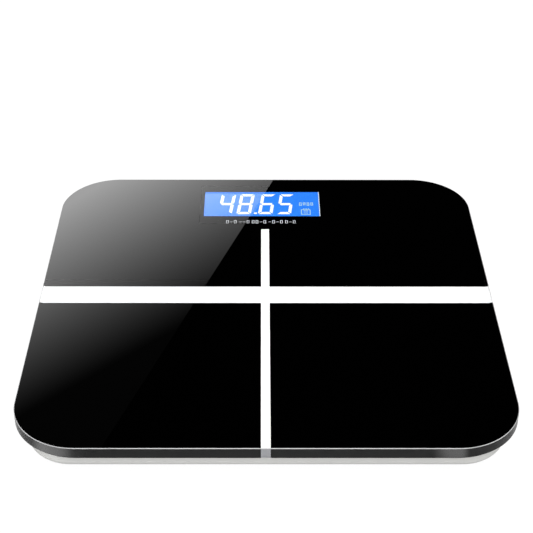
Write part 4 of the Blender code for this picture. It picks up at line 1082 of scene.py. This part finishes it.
def edge_cards():
    for i, (x, y, radius, glow) in enumerate(EDGE_CARDS):
        material, tree, nodes, join = stage_material(f"edge_card_glow_{i}")
        place, reach = nodes.new("ShaderNodeTexCoord"), nodes.new("ShaderNodeVectorMath")
        reach.operation = "LENGTH"
        fade = nodes.new("ShaderNodeMapRange")
        fade.interpolation_type = "SMOOTHSTEP"
        set_range(fade, EDGE_CARD_CORE * radius, radius, 1.0, 0.0)
        light = valued(nodes, "Emission", "Strength", glow)
        clear = nodes.new("ShaderNodeBsdfTransparent")
        out = nodes.new("ShaderNodeOutputMaterial")
        join(place.outputs["Object"], reach.inputs[0])
        join(reach.outputs["Value"], fade.inputs["Value"])
        join(mixed(tree, fade.outputs["Result"], clear.outputs[0], light.outputs[0]),
             out.inputs["Surface"])
        bm = bmesh.new()
        bmesh.ops.create_circle(bm, cap_ends=True, segments=32, radius=radius)
        card = to_object(f"edge_card_{i}", bm, material)
        card.location = (x, y, EDGE_CARD_HEIGHT)
        card.visible_camera = False
        card.visible_diffuse = False
        card.visible_shadow = False


# A gradient softbox behind and to the left, whose straight edge shows as the diagonal sheen
CARD_Y = 1.1
CARD_LOW, CARD_HIGH = 0.40, 1.30
CARD_LEFT = -0.50
CARD_EDGE_AT = (0.0138, 0.600)
CARD_EDGE_LEAN = -0.5482
CARD_GLOW = (4.368, -3.690, -5.365)
CARD_FAINTEST = 0.14
CARD_PEAK = 4.2


def sheen_card():
    """Brightness falls away from the card's lower left corner as the square of a plain slope, which
    stays above CARD_FAINTEST. CARD_PEAK is the most it can reach."""
    def edge(z):
        return CARD_EDGE_AT[0] + (z - CARD_EDGE_AT[1]) * CARD_EDGE_LEAN

    corners = [(CARD_LEFT, CARD_LOW), (edge(CARD_LOW), CARD_LOW), (edge(CARD_HIGH), CARD_HIGH),
               (CARD_LEFT, CARD_HIGH)]
    bm = bmesh.new()
    bm.faces.new([bm.verts.new((x, CARD_Y, z)) for x, z in corners])
    material, tree, nodes, join = stage_material("card_glow")
    place = nodes.new("ShaderNodeTexCoord")
    slope = nodes.new("ShaderNodeVectorMath")
    slope.operation = "DOT_PRODUCT"
    slope.inputs[1].default_value = (CARD_GLOW[1], 0, CARD_GLOW[2])
    glow, out = nodes.new("ShaderNodeEmission"), nodes.new("ShaderNodeOutputMaterial")
    join(place.outputs["Object"], slope.inputs[0])
    value = slope.outputs["Value"]
    for operation, by in (("ADD", CARD_GLOW[0]), ("MAXIMUM", CARD_FAINTEST), ("POWER", 2.0),
                          ("MINIMUM", CARD_PEAK)):
        step = valued(nodes, "Math", 1, by)
        step.operation = operation
        join(value, step.inputs[0])
        value = step.outputs["Value"]
    join(value, glow.inputs["Strength"])
    join(glow.outputs["Emission"], out.inputs["Surface"])
    card = to_object("sheen_card", bm, material)
    card.visible_camera = False


def area_light(name, at, aim, size, radiance):
    """A soft rectangular lamp of a given radiance, turned towards aim."""
    lamp = bpy.data.lights.new(name, "AREA")
    lamp.shape = "RECTANGLE"
    lamp.size, lamp.size_y = size
    lamp.energy = radiance * math.pi * size[0] * size[1]
    obj = bpy.data.objects.new(name, lamp)
    bpy.context.scene.collection.objects.link(obj)
    obj.location = at
    obj.rotation_euler = (Vector(aim) - Vector(at)).to_track_quat("-Z", "Y").to_euler()
    obj.visible_camera = False
    return obj


# Each lamp's place, aim, size and radiance
OVERHEAD = ((0, -0.35, 2.2), (0, -0.35, 0), (2.6, 2.0), 3.9)
KEY_STRIP = ((0, -0.95, 1.20), (0, -0.13, 0.02), (0.56, 0.34), 12.0)
FRONT_FILL = ((0, -1.5, 0.45), (0, -0.12, 0.01), (1.6, 0.3), 8.4)
SIDE_AT, SIDE_SIZE, SIDE_RADIANCE = (1.3, -0.05, 0.62), (0.7, 0.5), 4.0


def lights():
    overhead = area_light("overhead", *OVERHEAD)
    overhead.visible_glossy = False
    area_light("key_strip", *KEY_STRIP)
    area_light("front_fill", *FRONT_FILL)
    x, y, z = SIDE_AT
    for side, name in ((-1, "left"), (1, "right")):
        area_light(f"side_{name}", (side * x, y, z), (0, 0, 0), SIDE_SIZE, SIDE_RADIANCE)


# Grey of the surroundings at each height, from the horizon (0) to straight up (1)
SKY = ((0.0, 0.75), (0.06, 0.62), (0.22, 0.10), (0.34, 0.003), (1.0, 0.003))


def surroundings():
    """White behind the object for the camera; dim, with a pale horizon, for everything else."""
    world = bpy.data.worlds.new("studio")
    bpy.context.scene.world = world
    world.use_nodes = True
    tree = world.node_tree
    nodes, join = tree.nodes, tree.links.new
    nodes.clear()
    place, split = nodes.new("ShaderNodeTexCoord"), nodes.new("ShaderNodeSeparateXYZ")
    height = nodes.new("ShaderNodeValToRGB")
    fill_ramp(height, [(place, (grey, grey, grey)) for place, grey in SKY])
    dim = nodes.new("ShaderNodeBackground")
    white = valued(nodes, "Background", "Color", (1, 1, 1, 1))
    camera_ray = nodes.new("ShaderNodeLightPath").outputs["Is Camera Ray"]
    out = nodes.new("ShaderNodeOutputWorld")
    join(place.outputs["Generated"], split.inputs["Vector"])
    join(split.outputs["Z"], height.inputs["Fac"])
    join(height.outputs["Color"], dim.inputs["Color"])
    join(mixed(tree, camera_ray, dim.outputs[0], white.outputs[0]), out.inputs["Surface"])


CAMERA_FROM_GLASS = Vector(mm(-2.65, -594.0, 428.1))
CAMERA_PITCH, CAMERA_YAW, CAMERA_ROLL = (math.radians(a) for a in (34.522, 0.272, 0.194))
LENS, SENSOR = 85.62, 36
NEAREST = 0.05


def camera():
    data = bpy.data.cameras.new("camera")
    data.sensor_width = SENSOR
    data.lens = LENS
    data.clip_start = NEAREST
    obj = bpy.data.objects.new("camera", data)
    bpy.context.scene.collection.objects.link(obj)
    ahead = Vector((math.sin(CAMERA_YAW) * math.cos(CAMERA_PITCH),
                    math.cos(CAMERA_YAW) * math.cos(CAMERA_PITCH), -math.sin(CAMERA_PITCH)))
    right = Vector((math.cos(CAMERA_YAW), -math.sin(CAMERA_YAW), 0))
    up = right.cross(ahead)
    rolled_right = right * math.cos(CAMERA_ROLL) + up * math.sin(CAMERA_ROLL)
    rolled_up = up * math.cos(CAMERA_ROLL) - right * math.sin(CAMERA_ROLL)
    turn = Matrix((rolled_right, rolled_up, -ahead)).transposed().to_4x4()
    obj.matrix_world = Matrix.Translation(CAMERA_FROM_GLASS + Vector((0, 0, GLASS_HIGH.z))) @ turn
    bpy.context.scene.camera = obj


def colour_management():
    view = bpy.context.scene.view_settings
    view.view_transform = "Standard"
    view.look = "None"


glass_plate()
printed_ink()
graduation()
display()
tray()
feet()
tray_screws()
unit_button()
battery_door()
battery_cells()
carried_over()
floor()
edge_cards()
sheen_card()
lights()
surroundings()
camera()
colour_management()
